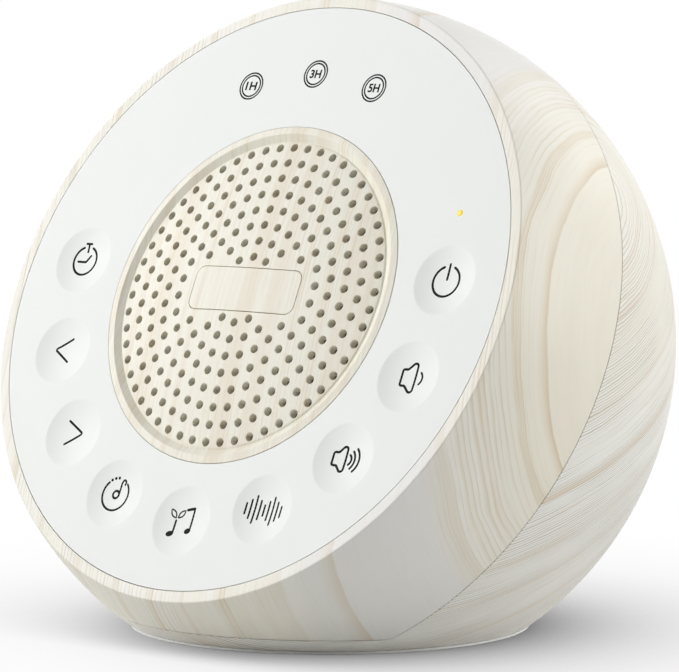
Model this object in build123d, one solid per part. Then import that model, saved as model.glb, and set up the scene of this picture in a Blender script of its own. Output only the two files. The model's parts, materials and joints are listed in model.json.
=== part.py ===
from build123d import *

import os
from math import cos, radians, sin, sqrt

os.makedirs("parts", exist_ok=True)

# A round bedside sound machine: a ball cut off flat at the front by a leaning control face, and cut off
# flat below by a round foot. Millimetres. Origin at the centre of the foot's underside, +Z up, face to -Y.

# ---- driving dimensions: the ball, its face and its foot
BALL_R = 60.0           # outside of the round housing
BALL_Z = 49.2           # height of the ball's centre above the table
FACE_TILT = 25.0        # degrees that the control face leans back from upright
FACE_DEPTH = 23.2       # from the ball's centre out to the face plane
WALL = 2.4              # moulded shell wall
EDGE_ROUND = 0.6        # round-over where the ball meets the face
BASE_LIFT = 0.25        # the rubber pad holds the base plate this far off the table
SKIRT_Z = 1.05          # lower edge of the rear shell's skirt
SKIRT_TOP = 2.9         # the seam line that runs round above the foot
BASE_R = 33.2           # round white base plate
SEAM_TONGUE = 1.6       # rear shell's tongue reaches this far into the front shell
TONGUE_T = 1.0

# ---- clearances
FIT = 0.1               # between pieces that are fixed together
FREE = 0.2              # round pieces that drop in loosely
KEY_GAP = 0.15          # all round a key cap
SCREW_GAP = 0.05        # between a screw and its pilot hole
SOFT_GAP = 0.3          # between the loudspeaker's moving pieces and its soft rings

# ---- control face
PANEL_T = 2.0
PANEL_R = 53.25
PANEL_HOLE_R = 30.8
PANEL_ROUND = 0.4
LEDGE_IN = 3.0          # how far the seat under the panel's rim reaches inwards
LEDGE_T = 2.2
KEY_CIRCLE_R = 41.2
KEY_NAMES = [
    "power", "volume_down", "volume_up", "white_noise", "nature", "lullaby", "next", "previous", "timer",
]
KEY_FIRST = 6.0         # degrees of the first key, counted from +X towards the top of the face
KEY_STEP = -24.0        # degrees from one key to the next, clockwise
KEY_R = 6.0
KEY_DISH = 0.6          # depth of the finger dish
KEY_DISH_R = 5.7
KEY_TRAVEL = 0.5
KEY_FLANGE = 1.2        # flange beyond the cap, held behind the panel
KEY_FLANGE_T = 1.0
POWER_LIGHT_R = 43.3
POWER_LIGHT_ANGLE = 22.0
LIGHT_PIPE_R = 0.55
TIMER_MARK_R = 40.75
TIMER_MARK_ANGLES = [110.0, 90.0, 70.0]
GUIDE_R = 2.2           # light guide behind each timer mark
WINDOW_T = 0.8          # panel left over each light guide

# ---- grille
GRILLE_R = 28.2         # the dome's edge, at the foot of the lip
DOME_RISE = 1.8         # the dome's crown above the face plane
DOME_DROP = 0.35        # the dome's edge below the face plane
DOME_T = 1.4
LIP_IN_R = 29.8         # inner edge of the lip's crest
LIP_RISE = 0.15
GRILLE_FLANGE = 2.9     # the grille's flange under the panel
GRILLE_FLANGE_T = 1.5
HOLE_R = 0.75            # each small hole is cut as a six-sided prism
HOLE_SIDES = 6
HOLE_PITCH = 3.0        # from one ring of holes to the next
HOLE_RINGS = 9
BADGE_W = 23.7
BADGE_H = 7.9
BADGE_CORNER = 1.7
BADGE_T = 0.8
BADGE_PROUD = 0.1
BADGE_LAND = 0.9        # unpierced margin round the plate
CLOTH_T = 0.3

# ---- inside the front shell
DECK_TOP = 11.8         # the deck across the shell that carries speaker and key board
DECK_T = 2.4
TUNNEL_R = 31.7         # inside of the collar between deck and grille
TUNNEL_T = 2.0
SPEAKER_HOLE_R = 23.5
BOARD_T = 1.6
POST_H = 1.6
BOARD_IN_R = 35.0
BOARD_OUT_R = 47.3
POST_R = 2.4
POST_CIRCLE_R = 37.5
POST_ANGLES = [40.0, 140.0, -54.0, -126.0]
SWITCH_W = 6.0
SWITCH_H = 3.4
PLUNGER_W = 3.0
PLUNGER_DIP = 1.2       # how far the plunger reaches into its switch at rest
CHIP_H = 1.0            # light-emitting chips
CHIP_W = 2.2

# ---- screws that join the shells, hidden under the panel
TOWER_CIRCLE_R = 49.4
TOWER_ANGLES = [45.0, 135.0, -30.0, -150.0]
TOWER_R = 3.8
TOWER_FLOOR = 4.0
BOSS_DEPTH = 14.0
SHANK_R = 1.3
HEAD_R = 2.6
HEAD_H = 1.7
SMALL_HEAD_R = 2.3
SCREW_SIDES = 6
RIB_T = 1.8

# ---- loudspeaker
GASKET_T = 0.5
GASKET_IN_R = 24.0
BASKET_R = 26.5
BASKET_T = 1.0
BASKET_DEPTH = 12.5
BASKET_SEAT_R = 14.6
BASKET_CONE_R = 22.5    # front edge of the basket's cone
BASKET_WINDOW = 11.2    # width of each of its four windows
BASKET_SILL = 2.2       # metal left above and below a window
EAR_CIRCLE_R = 29.2
EAR_R = 3.4
EAR_ANGLES = [45.0, 135.0, 225.0, 315.0]
PLATE_R = 13.0
PLATE_T = 2.0
MAGNET_R = 14.5
MAGNET_T = 6.0
MAGNET_HOLE_R = 7.6
POLE_R = 5.6
COIL_R = 6.45
COIL_T = 0.5
COIL_GAP = 0.35
CONE_R = 18.8
CONE_T = 0.5
CONE_TRAVEL = 0.8
DUST_CAP_R = 8.0
DUST_CAP_RISE = 2.8
SURROUND_T = 0.4
SURROUND_ROLL = 1.6
SURROUND_LAND_R = 23.5
SPIDER_T = 0.3
SPIDER_WAVES = 4
SPIDER_GLUE = 1.0       # flat rim glued to the basket

# ---- foot
RING_T = 1.6            # upright collar on the skirt, inside the front shell
RING_TOP = 6.0
BASE_BOSS_CIRCLE_R = 30.3
BASE_BOSS_R = 3.2
BASE_BOSS_TOP = 9.0
BASE_BOSS_ANGLES = [45.0, 135.0, 225.0, 315.0]
BASE_SCREW_SINK = 1.2
BASE_HEAD_R = 2.1
BASE_HEAD_H = 1.0
FOOT_R = 26.0           # round rubber pad let into the base plate
FOOT_RECESS = 1.0

# ---- main board and the two sockets at the back
MAIN_W = 33.0
MAIN_GAP = 4.5          # from the board's rear edge to the tray
MAIN_FRONT = -6.0
MAIN_Z = 10.0
MAIN_POSTS = [(-13.0, -2.0), (13.0, -2.0), (-13.0, 24.0), (13.0, 24.0)]
MAIN_POST_R = 2.6
MAIN_CORNER = 1.6
JACK_RISE = 5.6         # socket centres above the board
BAY_W = 24.0
BAY_H = 10.4
BAY_WALL = 1.5
BAY_DEPTH = 7.25        # the tray's floor below the ball's surface
BAY_CORNER = 1.0
DC_X = -5.8
DC_W = 9.0
DC_L = 14.0
DC_BORE_R = 3.1
DC_BORE_L = 11.0
DC_PIN_R = 1.0
DC_SHOULDER = 3.0       # round-over along the inlet's upper edges
AUDIO_X = 6.2
AUDIO_W = 7.6
AUDIO_L = 13.5
AUDIO_H = 8.6
AUDIO_BORE_R = 1.8
AUDIO_BORE_L = 12.0
AUDIO_MOUTH_R = 3.3     # hole in the tray round the headphone socket

# ---- worked out from the above
INNER_R = BALL_R - WALL
FACE = Plane(
    origin=(0, 0, BALL_Z), x_dir=(1, 0, 0), z_dir=(0, -cos(radians(FACE_TILT)), sin(radians(FACE_TILT)))
)
PANEL_BACK = FACE_DEPTH - PANEL_T
TUNNEL_TOP = PANEL_BACK - GRILLE_FLANGE_T
DECK_BACK = DECK_TOP - DECK_T
BOARD_BACK = DECK_TOP + POST_H
BOARD_TOP = BOARD_BACK + BOARD_T
RIM_R = sqrt(BALL_R**2 - FACE_DEPTH**2)
POCKET_R = PANEL_R + FIT
BASE_OPENING_R = BASE_R + FREE
SPEAKER_Z = DECK_BACK - GASKET_T
BASKET_BACK = SPEAKER_Z - BASKET_DEPTH
PLATE_BACK = BASKET_BACK - PLATE_T
MAGNET_BACK = PLATE_BACK - MAGNET_T
MAIN_TOP = MAIN_Z + BOARD_T
JACK_Z = MAIN_TOP + JACK_RISE
BAY_FLOOR_Y = sqrt(BALL_R**2 - (BALL_Z - JACK_Z) ** 2) - BAY_DEPTH
BAY_BACK = BAY_FLOOR_Y - BAY_WALL
MAIN_BACK = BAY_BACK - MAIN_GAP


def polar(radius, angle):
    return (radius * cos(radians(angle)), radius * sin(radians(angle)))


def on_circle(radius, angles):
    return [polar(radius, angle) for angle in angles]


def sphere_r(radius, height):
    """Radius of the circle that a sphere shows at a height from its centre."""
    return sqrt(radius**2 - height**2)


def peg(radius, bottom, top, at=(0, 0)):
    """Upright round bar between two heights."""
    return Pos(at[0], at[1], (bottom + top) / 2) * Cylinder(radius, top - bottom)


def tube(outer, inner, bottom, top, at=(0, 0)):
    return peg(outer, bottom, top, at) - peg(inner, bottom, top, at)


def block(x, y, z):
    """Box from three (low, high) pairs."""
    size = [high - low for low, high in (x, y, z)]
    middle = [(high + low) / 2 for low, high in (x, y, z)]
    return Pos(*middle) * Box(*size)


def turned(*runs):
    """Solid of revolution about Z from the lines and arcs round its half section in the XZ plane."""
    edges = [edge for run in runs for edge in run.edges()]
    return revolve(make_face(Wire(edges)), Axis.Z)


def ring_of(*points):
    """Solid of revolution from straight runs between (radius, height) points."""
    return revolve(make_face(Polyline(*[(r, 0, z) for r, z in points], close=True)), Axis.Z)


def as_one(first, *others):
    body = first
    for other in others:
        body += other
    return body


def screw(head_r, head_h, shank_r, length):
    """Plain screw, pointing down, with its head's seat at the origin and flats round it."""
    head = extrude(RegularPolygon(head_r, SCREW_SIDES), head_h)
    return head + extrude(RegularPolygon(shank_r, SCREW_SIDES), -length)


def screw_hole(radius, bottom, top, at):
    """Hole with the same flats as the screw that goes in it."""
    return Pos(at[0], at[1], bottom) * extrude(RegularPolygon(radius, SCREW_SIDES), top - bottom)


def save(name, shape, frame=None):
    placed = shape.moved(frame.location) if frame else shape
    solids = placed.solids()
    export_step(Compound(solids) if len(solids) > 1 else solids[0], f"parts/{name}.step")
    print(name, len(solids))


# ======== front shell
def front_shell():
    """Front of the ball in one moulding, with the panel's seat, the deck, the collar and the screw towers."""
    def at(r, z):
        return (r, 0, z)

    def arc(radius, low, high):
        """Run along a ball of this radius from one height to another."""
        middle = (low + high) / 2
        ends = [at(sphere_r(radius, z), z) for z in (low, middle, high)]
        return ThreePointArc(*ends)

    rebate_r = INNER_R + TONGUE_T + FIT
    rebate_z = SEAM_TONGUE + FIT
    ledge_z = PANEL_BACK - LEDGE_T
    ledge_r = POCKET_R - LEDGE_IN
    steps = Polyline(
        at(RIM_R, FACE_DEPTH), at(POCKET_R, FACE_DEPTH), at(POCKET_R, PANEL_BACK), at(ledge_r, PANEL_BACK),
        at(ledge_r, ledge_z), at(sphere_r(INNER_R, ledge_z), ledge_z),
    )
    deck = Polyline(
        at(sphere_r(INNER_R, DECK_TOP), DECK_TOP), at(TUNNEL_R + TUNNEL_T, DECK_TOP),
        at(TUNNEL_R + TUNNEL_T, TUNNEL_TOP), at(TUNNEL_R, TUNNEL_TOP), at(TUNNEL_R, DECK_TOP),
        at(SPEAKER_HOLE_R, DECK_TOP), at(SPEAKER_HOLE_R, DECK_BACK),
        at(sphere_r(INNER_R, DECK_BACK), DECK_BACK),
    )
    seam = Polyline(
        at(sphere_r(INNER_R, rebate_z), rebate_z), at(rebate_r, rebate_z), at(rebate_r, 0), at(BALL_R, 0),
    )
    shell = turned(
        arc(BALL_R, 0, FACE_DEPTH), steps, arc(INNER_R, ledge_z, DECK_TOP), deck,
        arc(INNER_R, DECK_BACK, rebate_z), seam,
    )
    rim = shell.edges().filter_by(GeomType.CIRCLE).sort_by(Axis.Z)[-2:].sort_by(lambda e: e.radius)[-1]
    shell = fillet(rim, EDGE_ROUND)

    inside = Sphere(INNER_R + WALL / 2)
    for angle in TOWER_ANGLES:
        spot = polar(TOWER_CIRCLE_R, angle)
        post = peg(TOWER_R, 0, PANEL_BACK, spot)
        rib = Rot(0, 0, angle) * block(
            (TOWER_CIRCLE_R, BALL_R), (-RIB_T / 2, RIB_T / 2), (rebate_z, DECK_TOP)
        )
        shell += (post + rib) & inside
        shell -= peg(HEAD_R + FREE, TOWER_FLOOR, FACE_DEPTH, spot)
        shell -= screw_hole(SHANK_R + FREE, -1, FACE_DEPTH, spot)
    for spot in on_circle(POST_CIRCLE_R, POST_ANGLES):
        shell += peg(POST_R, DECK_TOP, BOARD_BACK, spot)
        shell -= screw_hole(SHANK_R + SCREW_GAP, DECK_BACK, BOARD_BACK, spot)
    for spot in on_circle(EAR_CIRCLE_R, EAR_ANGLES):
        shell -= screw_hole(SHANK_R + SCREW_GAP, DECK_BACK, DECK_TOP, spot)

    shell = shell.moved(FACE.location)
    shell -= block((-BALL_R, BALL_R), (-BALL_R, BALL_R), (-BALL_R, SKIRT_TOP))
    return shell - peg(BASE_OPENING_R + RING_T + FREE, 0, RING_TOP + FREE)


# ======== rear shell
def rear_shell():
    """Back of the ball, with the skirt that runs round under the front shell, and the foot's collar."""
    whole = Sphere(BALL_R) - Sphere(INNER_R)
    behind = Pos(0, 0, -BALL_R) * Box(4 * BALL_R, 4 * BALL_R, 2 * BALL_R)
    tongue = tube(INNER_R + TONGUE_T, INNER_R - WALL, -SEAM_TONGUE, SEAM_TONGUE)
    tongue -= Sphere(INNER_R)
    bosses = []
    for angle in TOWER_ANGLES:
        spot = polar(TOWER_CIRCLE_R, angle)
        rib = Rot(0, 0, angle) * block(
            (TOWER_CIRCLE_R, BALL_R), (-RIB_T / 2, RIB_T / 2), (-BOSS_DEPTH, -SEAM_TONGUE)
        )
        bosses.append((peg(TOWER_R, -BOSS_DEPTH, 0, spot) + rib) & Sphere(INNER_R + WALL / 2))
    back = as_one(whole & behind, tongue, *bosses)
    for spot in on_circle(TOWER_CIRCLE_R, TOWER_ANGLES):
        back -= screw_hole(SHANK_R + SCREW_GAP, -BOSS_DEPTH + WALL, 1, spot)

    back = back.moved(FACE.location)
    low_front = block((-BALL_R, BALL_R), (-BALL_R, 0), (-BALL_R, RING_TOP + WALL))
    back -= tongue.moved(FACE.location) & low_front
    ball = Pos(0, 0, BALL_Z) * Sphere(BALL_R)
    skirt = ball & tube(BALL_R, BASE_OPENING_R, SKIRT_Z, SKIRT_TOP)
    collar = tube(BASE_OPENING_R + RING_T, BASE_OPENING_R, SKIRT_Z, RING_TOP)
    back = as_one(back, skirt, collar)
    for angle in BASE_BOSS_ANGLES:
        spot = polar(BASE_BOSS_CIRCLE_R, angle)
        rib = Rot(0, 0, angle) * block(
            (BASE_BOSS_CIRCLE_R, BASE_OPENING_R + RING_T / 2), (-RIB_T, RIB_T), (SKIRT_TOP, RING_TOP)
        )
        back = as_one(back, peg(BASE_BOSS_R, SKIRT_TOP, BASE_BOSS_TOP, spot), rib)
        back -= screw_hole(SHANK_R + SCREW_GAP, SKIRT_TOP, BASE_BOSS_TOP - 1, spot)
    back -= block((-BALL_R, BALL_R), (-BALL_R, BALL_R), (-BALL_R, SKIRT_Z))
    back -= peg(BASE_OPENING_R, SKIRT_Z - 1, SKIRT_TOP)
    return back - bay_block(FIT)


def bay_block(margin):
    """Outside of the socket bay, as a straight block from its floor out through the wall."""
    half = BAY_W / 2 + BAY_WALL + margin
    tall = BAY_H / 2 + BAY_WALL + margin
    shape = block((-half, half), (BAY_BACK - margin, BALL_R), (JACK_Z - tall, JACK_Z + tall))
    return fillet(shape.edges().filter_by(Axis.Y), BAY_CORNER + BAY_WALL + margin)


# ======== control face
def key_spots():
    return [polar(KEY_CIRCLE_R, KEY_FIRST + KEY_STEP * i) for i in range(len(KEY_NAMES))]


def face_panel():
    panel = tube(PANEL_R, PANEL_HOLE_R, PANEL_BACK, FACE_DEPTH)
    panel = fillet(panel.edges().group_by(Axis.Z)[-1], PANEL_ROUND)
    for spot in key_spots():
        panel -= peg(KEY_R + KEY_GAP, PANEL_BACK, FACE_DEPTH, spot)
    for spot in on_circle(TIMER_MARK_R, TIMER_MARK_ANGLES):
        panel -= peg(GUIDE_R + FIT, PANEL_BACK, FACE_DEPTH - WINDOW_T, spot)
    light = polar(POWER_LIGHT_R, POWER_LIGHT_ANGLE)
    return panel - peg(LIGHT_PIPE_R + SCREW_GAP, PANEL_BACK, FACE_DEPTH, light)


def key_cap():
    """Dished cap with its retaining flange, about the key's own axis."""
    flange_top = PANEL_BACK - FIT
    flange_back = flange_top - KEY_FLANGE_T
    dish_curve = (KEY_DISH_R**2 + KEY_DISH**2) / (2 * KEY_DISH)
    cap = peg(KEY_R, flange_back, FACE_DEPTH)
    cap = chamfer(cap.edges().group_by(Axis.Z)[-1], KEY_GAP)
    cap += peg(KEY_R + KEY_FLANGE, flange_back, flange_top)
    return cap - Pos(0, 0, FACE_DEPTH + dish_curve - KEY_DISH) * Sphere(dish_curve)


def plunger():
    """Square post from the key's flange down into its switch."""
    side = (-PLUNGER_W / 2, PLUNGER_W / 2)
    return block(side, side, (BOARD_TOP + SWITCH_H - PLUNGER_DIP, PANEL_BACK - FIT - KEY_FLANGE_T))


def tact_switch():
    top = BOARD_TOP + SWITCH_H
    side = (-SWITCH_W / 2, SWITCH_W / 2)
    well = (-PLUNGER_W / 2 - FIT, PLUNGER_W / 2 + FIT)
    floor = top - PLUNGER_DIP - KEY_TRAVEL - FIT
    return block(side, side, (BOARD_TOP, top)) - block(well, well, (floor, top))


def key_board():
    board = tube(BOARD_OUT_R, BOARD_IN_R, BOARD_BACK, BOARD_TOP)
    for spot in on_circle(TOWER_CIRCLE_R, TOWER_ANGLES):
        board -= peg(TOWER_R + FREE, BOARD_BACK, BOARD_TOP, spot)
    for spot in on_circle(POST_CIRCLE_R, POST_ANGLES):
        board -= screw_hole(SHANK_R + FREE, BOARD_BACK, BOARD_TOP, spot)
    return board


# ======== grille
def curve_of(reach, rise):
    """Radius at the crown of a parabolic cap with this reach and rise."""
    return reach**2 / (2 * rise)


def cap_line(curve, reach, crown):
    """Half of a parabolic cap's line, from its edge at this reach to its crown at this height."""
    edge = crown - reach**2 / (2 * curve)
    return Bezier((reach, 0, edge), (reach / 2, 0, crown), (0, 0, crown))


def cap_solid(curve, reach, crown, thick):
    """Dished disc of even thickness."""
    upper = cap_line(curve, reach, crown)
    lower = cap_line(curve, reach, crown - thick)
    return turned(upper, Line(upper @ 1, lower @ 1), lower, Line(lower @ 0, upper @ 0))


def dome_solid(top, thick, radius):
    """Part of the grille's dome whose upper side lies this far from the outside."""
    return cap_solid(curve_of(GRILLE_R, DOME_RISE + DOME_DROP), radius, FACE_DEPTH + DOME_RISE + top, thick)


def badge_outline(margin):
    plate = RectangleRounded(BADGE_W + 2 * margin, BADGE_H + 2 * margin, BADGE_CORNER + margin)
    return Pos(0, 0, PANEL_BACK) * extrude(plate, 2 * PANEL_T)


def hole_spots():
    """Rings of six, twelve, eighteen and so on, leaving out those under the badge plate."""
    spots = []
    for ring in range(1, HOLE_RINGS + 1):
        for step in range(6 * ring):
            x, y = polar(ring * HOLE_PITCH, 90 + step * 60 / ring)
            clear_x = abs(x) > BADGE_W / 2 + BADGE_LAND
            clear_y = abs(y) > BADGE_H / 2 + BADGE_LAND
            if clear_x or clear_y:
                spots.append((x, y))
    return spots


def grille():
    """Domed grille with its raised lip and the flange that the panel holds down."""
    dome = dome_solid(0, DOME_T, GRILLE_R)
    crest = FACE_DEPTH + LIP_RISE
    lip_out = PANEL_HOLE_R - FREE
    edge = FACE_DEPTH - DOME_DROP
    lip = ring_of(
        (GRILLE_R - DOME_T / 4, edge - DOME_T), (GRILLE_R - DOME_T / 4, edge - DOME_T / 4), (GRILLE_R, edge),
        (LIP_IN_R, crest), (lip_out, crest), (lip_out, PANEL_BACK),
        (PANEL_HOLE_R + GRILLE_FLANGE, PANEL_BACK), (PANEL_HOLE_R + GRILLE_FLANGE, TUNNEL_TOP),
        (TUNNEL_R - FREE, TUNNEL_TOP), (TUNNEL_R - FREE, edge - DOME_T),
    )
    lip = chamfer(lip.edges().group_by(Axis.Z)[-1], LIP_RISE)
    body = dome + lip
    drill = Sketch() + [Pos(x, y) * RegularPolygon(HOLE_R, HOLE_SIDES) for x, y in hole_spots()]
    body -= Pos(0, 0, TUNNEL_TOP) * extrude(drill, 3 * PANEL_T)
    return body - (badge_outline(FIT) & dome_solid(1, 1 + BADGE_T, GRILLE_R))


def badge_plate():
    return badge_outline(0) & dome_solid(BADGE_PROUD, BADGE_PROUD + BADGE_T - SCREW_GAP, GRILLE_R)


def grille_cloth():
    return dome_solid(-DOME_T - SCREW_GAP, CLOTH_T, GRILLE_R - DOME_T)


# ======== loudspeaker
def basket_outline(bottom, top, hole_r):
    plate = peg(BASKET_R, bottom, top)
    for spot in on_circle(EAR_CIRCLE_R, EAR_ANGLES):
        plate += peg(EAR_R, bottom, top, spot)
    for spot in on_circle(EAR_CIRCLE_R, EAR_ANGLES):
        plate -= screw_hole(SHANK_R + FREE, bottom, top, spot)
    return plate - peg(hole_r, bottom, top)


def speaker_frame():
    """Pressed basket: front flange with four ears, a cone with four windows, and the seat on the motor."""
    flange_back = SPEAKER_Z - BASKET_T
    flange = basket_outline(flange_back, SPEAKER_Z, BASKET_CONE_R)
    outside = BASKET_CONE_R + BASKET_T
    cone = ring_of(
        (BASKET_CONE_R, SPEAKER_Z), (outside, SPEAKER_Z), (outside, flange_back),
        (BASKET_SEAT_R, BASKET_BACK), (COIL_R + BASKET_T, BASKET_BACK),
        (COIL_R + BASKET_T, BASKET_BACK + BASKET_T), (BASKET_SEAT_R - BASKET_T, BASKET_BACK + BASKET_T),
    )
    heights = (BASKET_BACK + BASKET_SILL, flange_back - BASKET_SILL)
    for angle in EAR_ANGLES:
        window = block((BASKET_SEAT_R / 2, BASKET_R), (-BASKET_WINDOW / 2, BASKET_WINDOW / 2), heights)
        cone -= Rot(0, 0, angle + 45) * window
    return flange + cone


def speaker_cone():
    front = SPEAKER_Z - CONE_TRAVEL - SCREW_GAP
    back = front - (CONE_R - COIL_R) / 2
    return ring_of((CONE_R, front), (CONE_R, front - CONE_T), (COIL_R, back - CONE_T), (COIL_R, back))


def voice_coil():
    back = SPEAKER_Z - CONE_TRAVEL - (CONE_R - COIL_R) / 2
    return tube(COIL_R, COIL_R - COIL_T, PLATE_BACK - PLATE_T, back)


def dust_cap():
    """Domed cap over the voice coil, standing on the cone."""
    front = SPEAKER_Z - CONE_TRAVEL - SCREW_GAP
    foot = front - (CONE_R - DUST_CAP_R) / 2 + CONE_T
    return cap_solid(curve_of(DUST_CAP_R, DUST_CAP_RISE), DUST_CAP_R, foot + DUST_CAP_RISE, CONE_T)


def surround():
    """Half-roll rubber edge, glued to the basket's flange."""
    middle = CONE_R + SOFT_GAP + SURROUND_ROLL
    roll = []
    for radius in (SURROUND_ROLL, SURROUND_ROLL - SURROUND_T):
        arch = [polar(radius, angle) for angle in range(180, -1, -45)]
        roll.append([(middle + r, SPEAKER_Z + z) for r, z in arch])
    outer, under = roll
    land = (SURROUND_LAND_R, SPEAKER_Z)
    step = (SURROUND_LAND_R, SPEAKER_Z + SURROUND_T)
    return ring_of(*outer[:-1], (outer[-1][0], step[1]), step, land, *reversed(under))


def spider():
    """Corrugated centring disc on the basket's seat."""
    seat = BASKET_BACK + BASKET_T
    inner = COIL_R + SOFT_GAP
    end = BASKET_SEAT_R - BASKET_T - SOFT_GAP
    step = (end - SPIDER_GLUE - inner) / SPIDER_WAVES
    crest = [seat + SPIDER_T + (i % 2) * 2 * SPIDER_T for i in range(SPIDER_WAVES + 1)]
    line = [(inner + i * step, z) for i, z in enumerate(crest)]
    upper = [*line, (end, seat + SPIDER_T)]
    lower = [(r, z - SPIDER_T) for r, z in reversed(upper)]
    return ring_of(*upper, *lower)


# ======== foot and base
def base_plate():
    plate = peg(BASE_R, BASE_LIFT, SKIRT_TOP)
    plate = chamfer(plate.edges().sort_by(Axis.Z)[0], BASE_LIFT)
    plate -= peg(FOOT_R + FIT, BASE_LIFT, BASE_LIFT + FOOT_RECESS)
    for spot in MAIN_POSTS:
        plate += peg(MAIN_POST_R, SKIRT_TOP, MAIN_Z, spot)
        plate -= screw_hole(SHANK_R + SCREW_GAP, SKIRT_TOP, MAIN_Z, spot)
    for spot in on_circle(BASE_BOSS_CIRCLE_R, BASE_BOSS_ANGLES):
        plate -= peg(BASE_HEAD_R + FREE, BASE_LIFT, BASE_LIFT + BASE_SCREW_SINK, spot)
        plate -= screw_hole(SHANK_R + FREE, BASE_LIFT, SKIRT_TOP, spot)
    return plate


def foot_pad():
    pad = peg(FOOT_R, 0, BASE_LIFT + FOOT_RECESS)
    return chamfer(pad.edges().sort_by(Axis.Z)[0], FIT)


# ======== main board and sockets
def main_board():
    board = block((-MAIN_W / 2, MAIN_W / 2), (MAIN_FRONT, MAIN_BACK), (MAIN_Z, MAIN_TOP))
    board = chamfer(board.edges().filter_by(Axis.Z), MAIN_CORNER)
    for spot in MAIN_POSTS:
        board -= screw_hole(SHANK_R + FREE, MAIN_Z, MAIN_TOP, spot)
    return board


def socket_bay():
    """Recessed tray at the back that both sockets open into."""
    shell = bay_block(0) & (Pos(0, 0, BALL_Z) * Sphere(BALL_R))
    hollow = block(
        (-BAY_W / 2, BAY_W / 2), (BAY_FLOOR_Y, BALL_R), (JACK_Z - BAY_H / 2, JACK_Z + BAY_H / 2)
    )
    shell -= fillet(hollow.edges().filter_by(Axis.Y), BAY_CORNER)
    for x, radius in ((DC_X, DC_BORE_R + FREE), (AUDIO_X, AUDIO_MOUTH_R)):
        shell -= along_y(radius, BAY_BACK, BAY_FLOOR_Y, x)
    return shell


def along_y(radius, start, end, x):
    return Pos(x, (start + end) / 2, JACK_Z) * Rot(90, 0, 0) * Cylinder(radius, end - start)


def dc_jack():
    body = block(
        (DC_X - DC_W / 2, DC_X + DC_W / 2), (BAY_BACK - DC_L, BAY_BACK), (MAIN_TOP, JACK_Z + DC_W / 2)
    )
    body = fillet(body.edges().filter_by(Axis.Y).group_by(Axis.Z)[-1], DC_SHOULDER)
    return body - along_y(DC_BORE_R, BAY_BACK - DC_BORE_L, BAY_BACK, DC_X)


def dc_pin():
    return along_y(DC_PIN_R, BAY_BACK - DC_BORE_L, BAY_BACK - BAY_WALL, DC_X)


def audio_jack():
    half = AUDIO_W / 2
    body = block(
        (AUDIO_X - half, AUDIO_X + half), (BAY_BACK - AUDIO_L, BAY_BACK), (MAIN_TOP, MAIN_TOP + AUDIO_H)
    )
    return body - along_y(AUDIO_BORE_R, BAY_BACK - AUDIO_BORE_L, BAY_BACK, AUDIO_X)


# ======== write every piece
def write_face_pieces():
    save("face_panel", face_panel(), FACE)
    save("grille", grille(), FACE)
    save("badge_plate", badge_plate(), FACE)
    save("grille_cloth", grille_cloth(), FACE)
    save("key_board", key_board(), FACE)
    cap, post, switch = key_cap(), plunger(), tact_switch()
    switches = []
    for name, (x, y) in zip(KEY_NAMES, key_spots()):
        save(f"key_{name}", Pos(x, y, 0) * cap, FACE)
        save(f"switch_plunger_{name}", Pos(x, y, 0) * post, FACE)
        switches.append(Pos(x, y, 0) * switch)
    save("tact_switches", Compound(switches), FACE)

    x, y = polar(POWER_LIGHT_R, POWER_LIGHT_ANGLE)
    chip_top = BOARD_TOP + CHIP_H
    chip = block((-CHIP_W / 2, CHIP_W / 2), (-CHIP_H / 2, CHIP_H / 2), (BOARD_TOP, chip_top))
    pipe = peg(LIGHT_PIPE_R, chip_top, FACE_DEPTH) + peg(2 * LIGHT_PIPE_R, chip_top, PANEL_BACK)
    save("power_light_pipe", Pos(x, y, 0) * pipe, FACE)
    marks = on_circle(TIMER_MARK_R, TIMER_MARK_ANGLES)
    guide = peg(GUIDE_R, chip_top, FACE_DEPTH - WINDOW_T)
    save("timer_light_guides", Compound([Pos(x, y, 0) * guide for x, y in marks]), FACE)
    lights = [polar(POWER_LIGHT_R, POWER_LIGHT_ANGLE), *marks]
    save("light_chips", Compound([Pos(x, y, 0) * chip for x, y in lights]), FACE)


def write_speaker():
    save("speaker_gasket", basket_outline(SPEAKER_Z, DECK_BACK, GASKET_IN_R), FACE)
    save("speaker_frame", speaker_frame(), FACE)
    save("speaker_surround", surround(), FACE)
    save("speaker_spider", spider(), FACE)
    save("speaker_cone", speaker_cone(), FACE)
    save("speaker_dust_cap", dust_cap(), FACE)
    save("voice_coil", voice_coil(), FACE)
    save("speaker_top_plate", tube(PLATE_R, COIL_R + COIL_GAP, PLATE_BACK, BASKET_BACK), FACE)
    save("speaker_magnet", tube(MAGNET_R, MAGNET_HOLE_R, MAGNET_BACK, PLATE_BACK), FACE)
    yoke = peg(PLATE_R, MAGNET_BACK - PLATE_T, MAGNET_BACK) + peg(POLE_R, MAGNET_BACK, BASKET_BACK)
    save("speaker_yoke", yoke, FACE)


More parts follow.
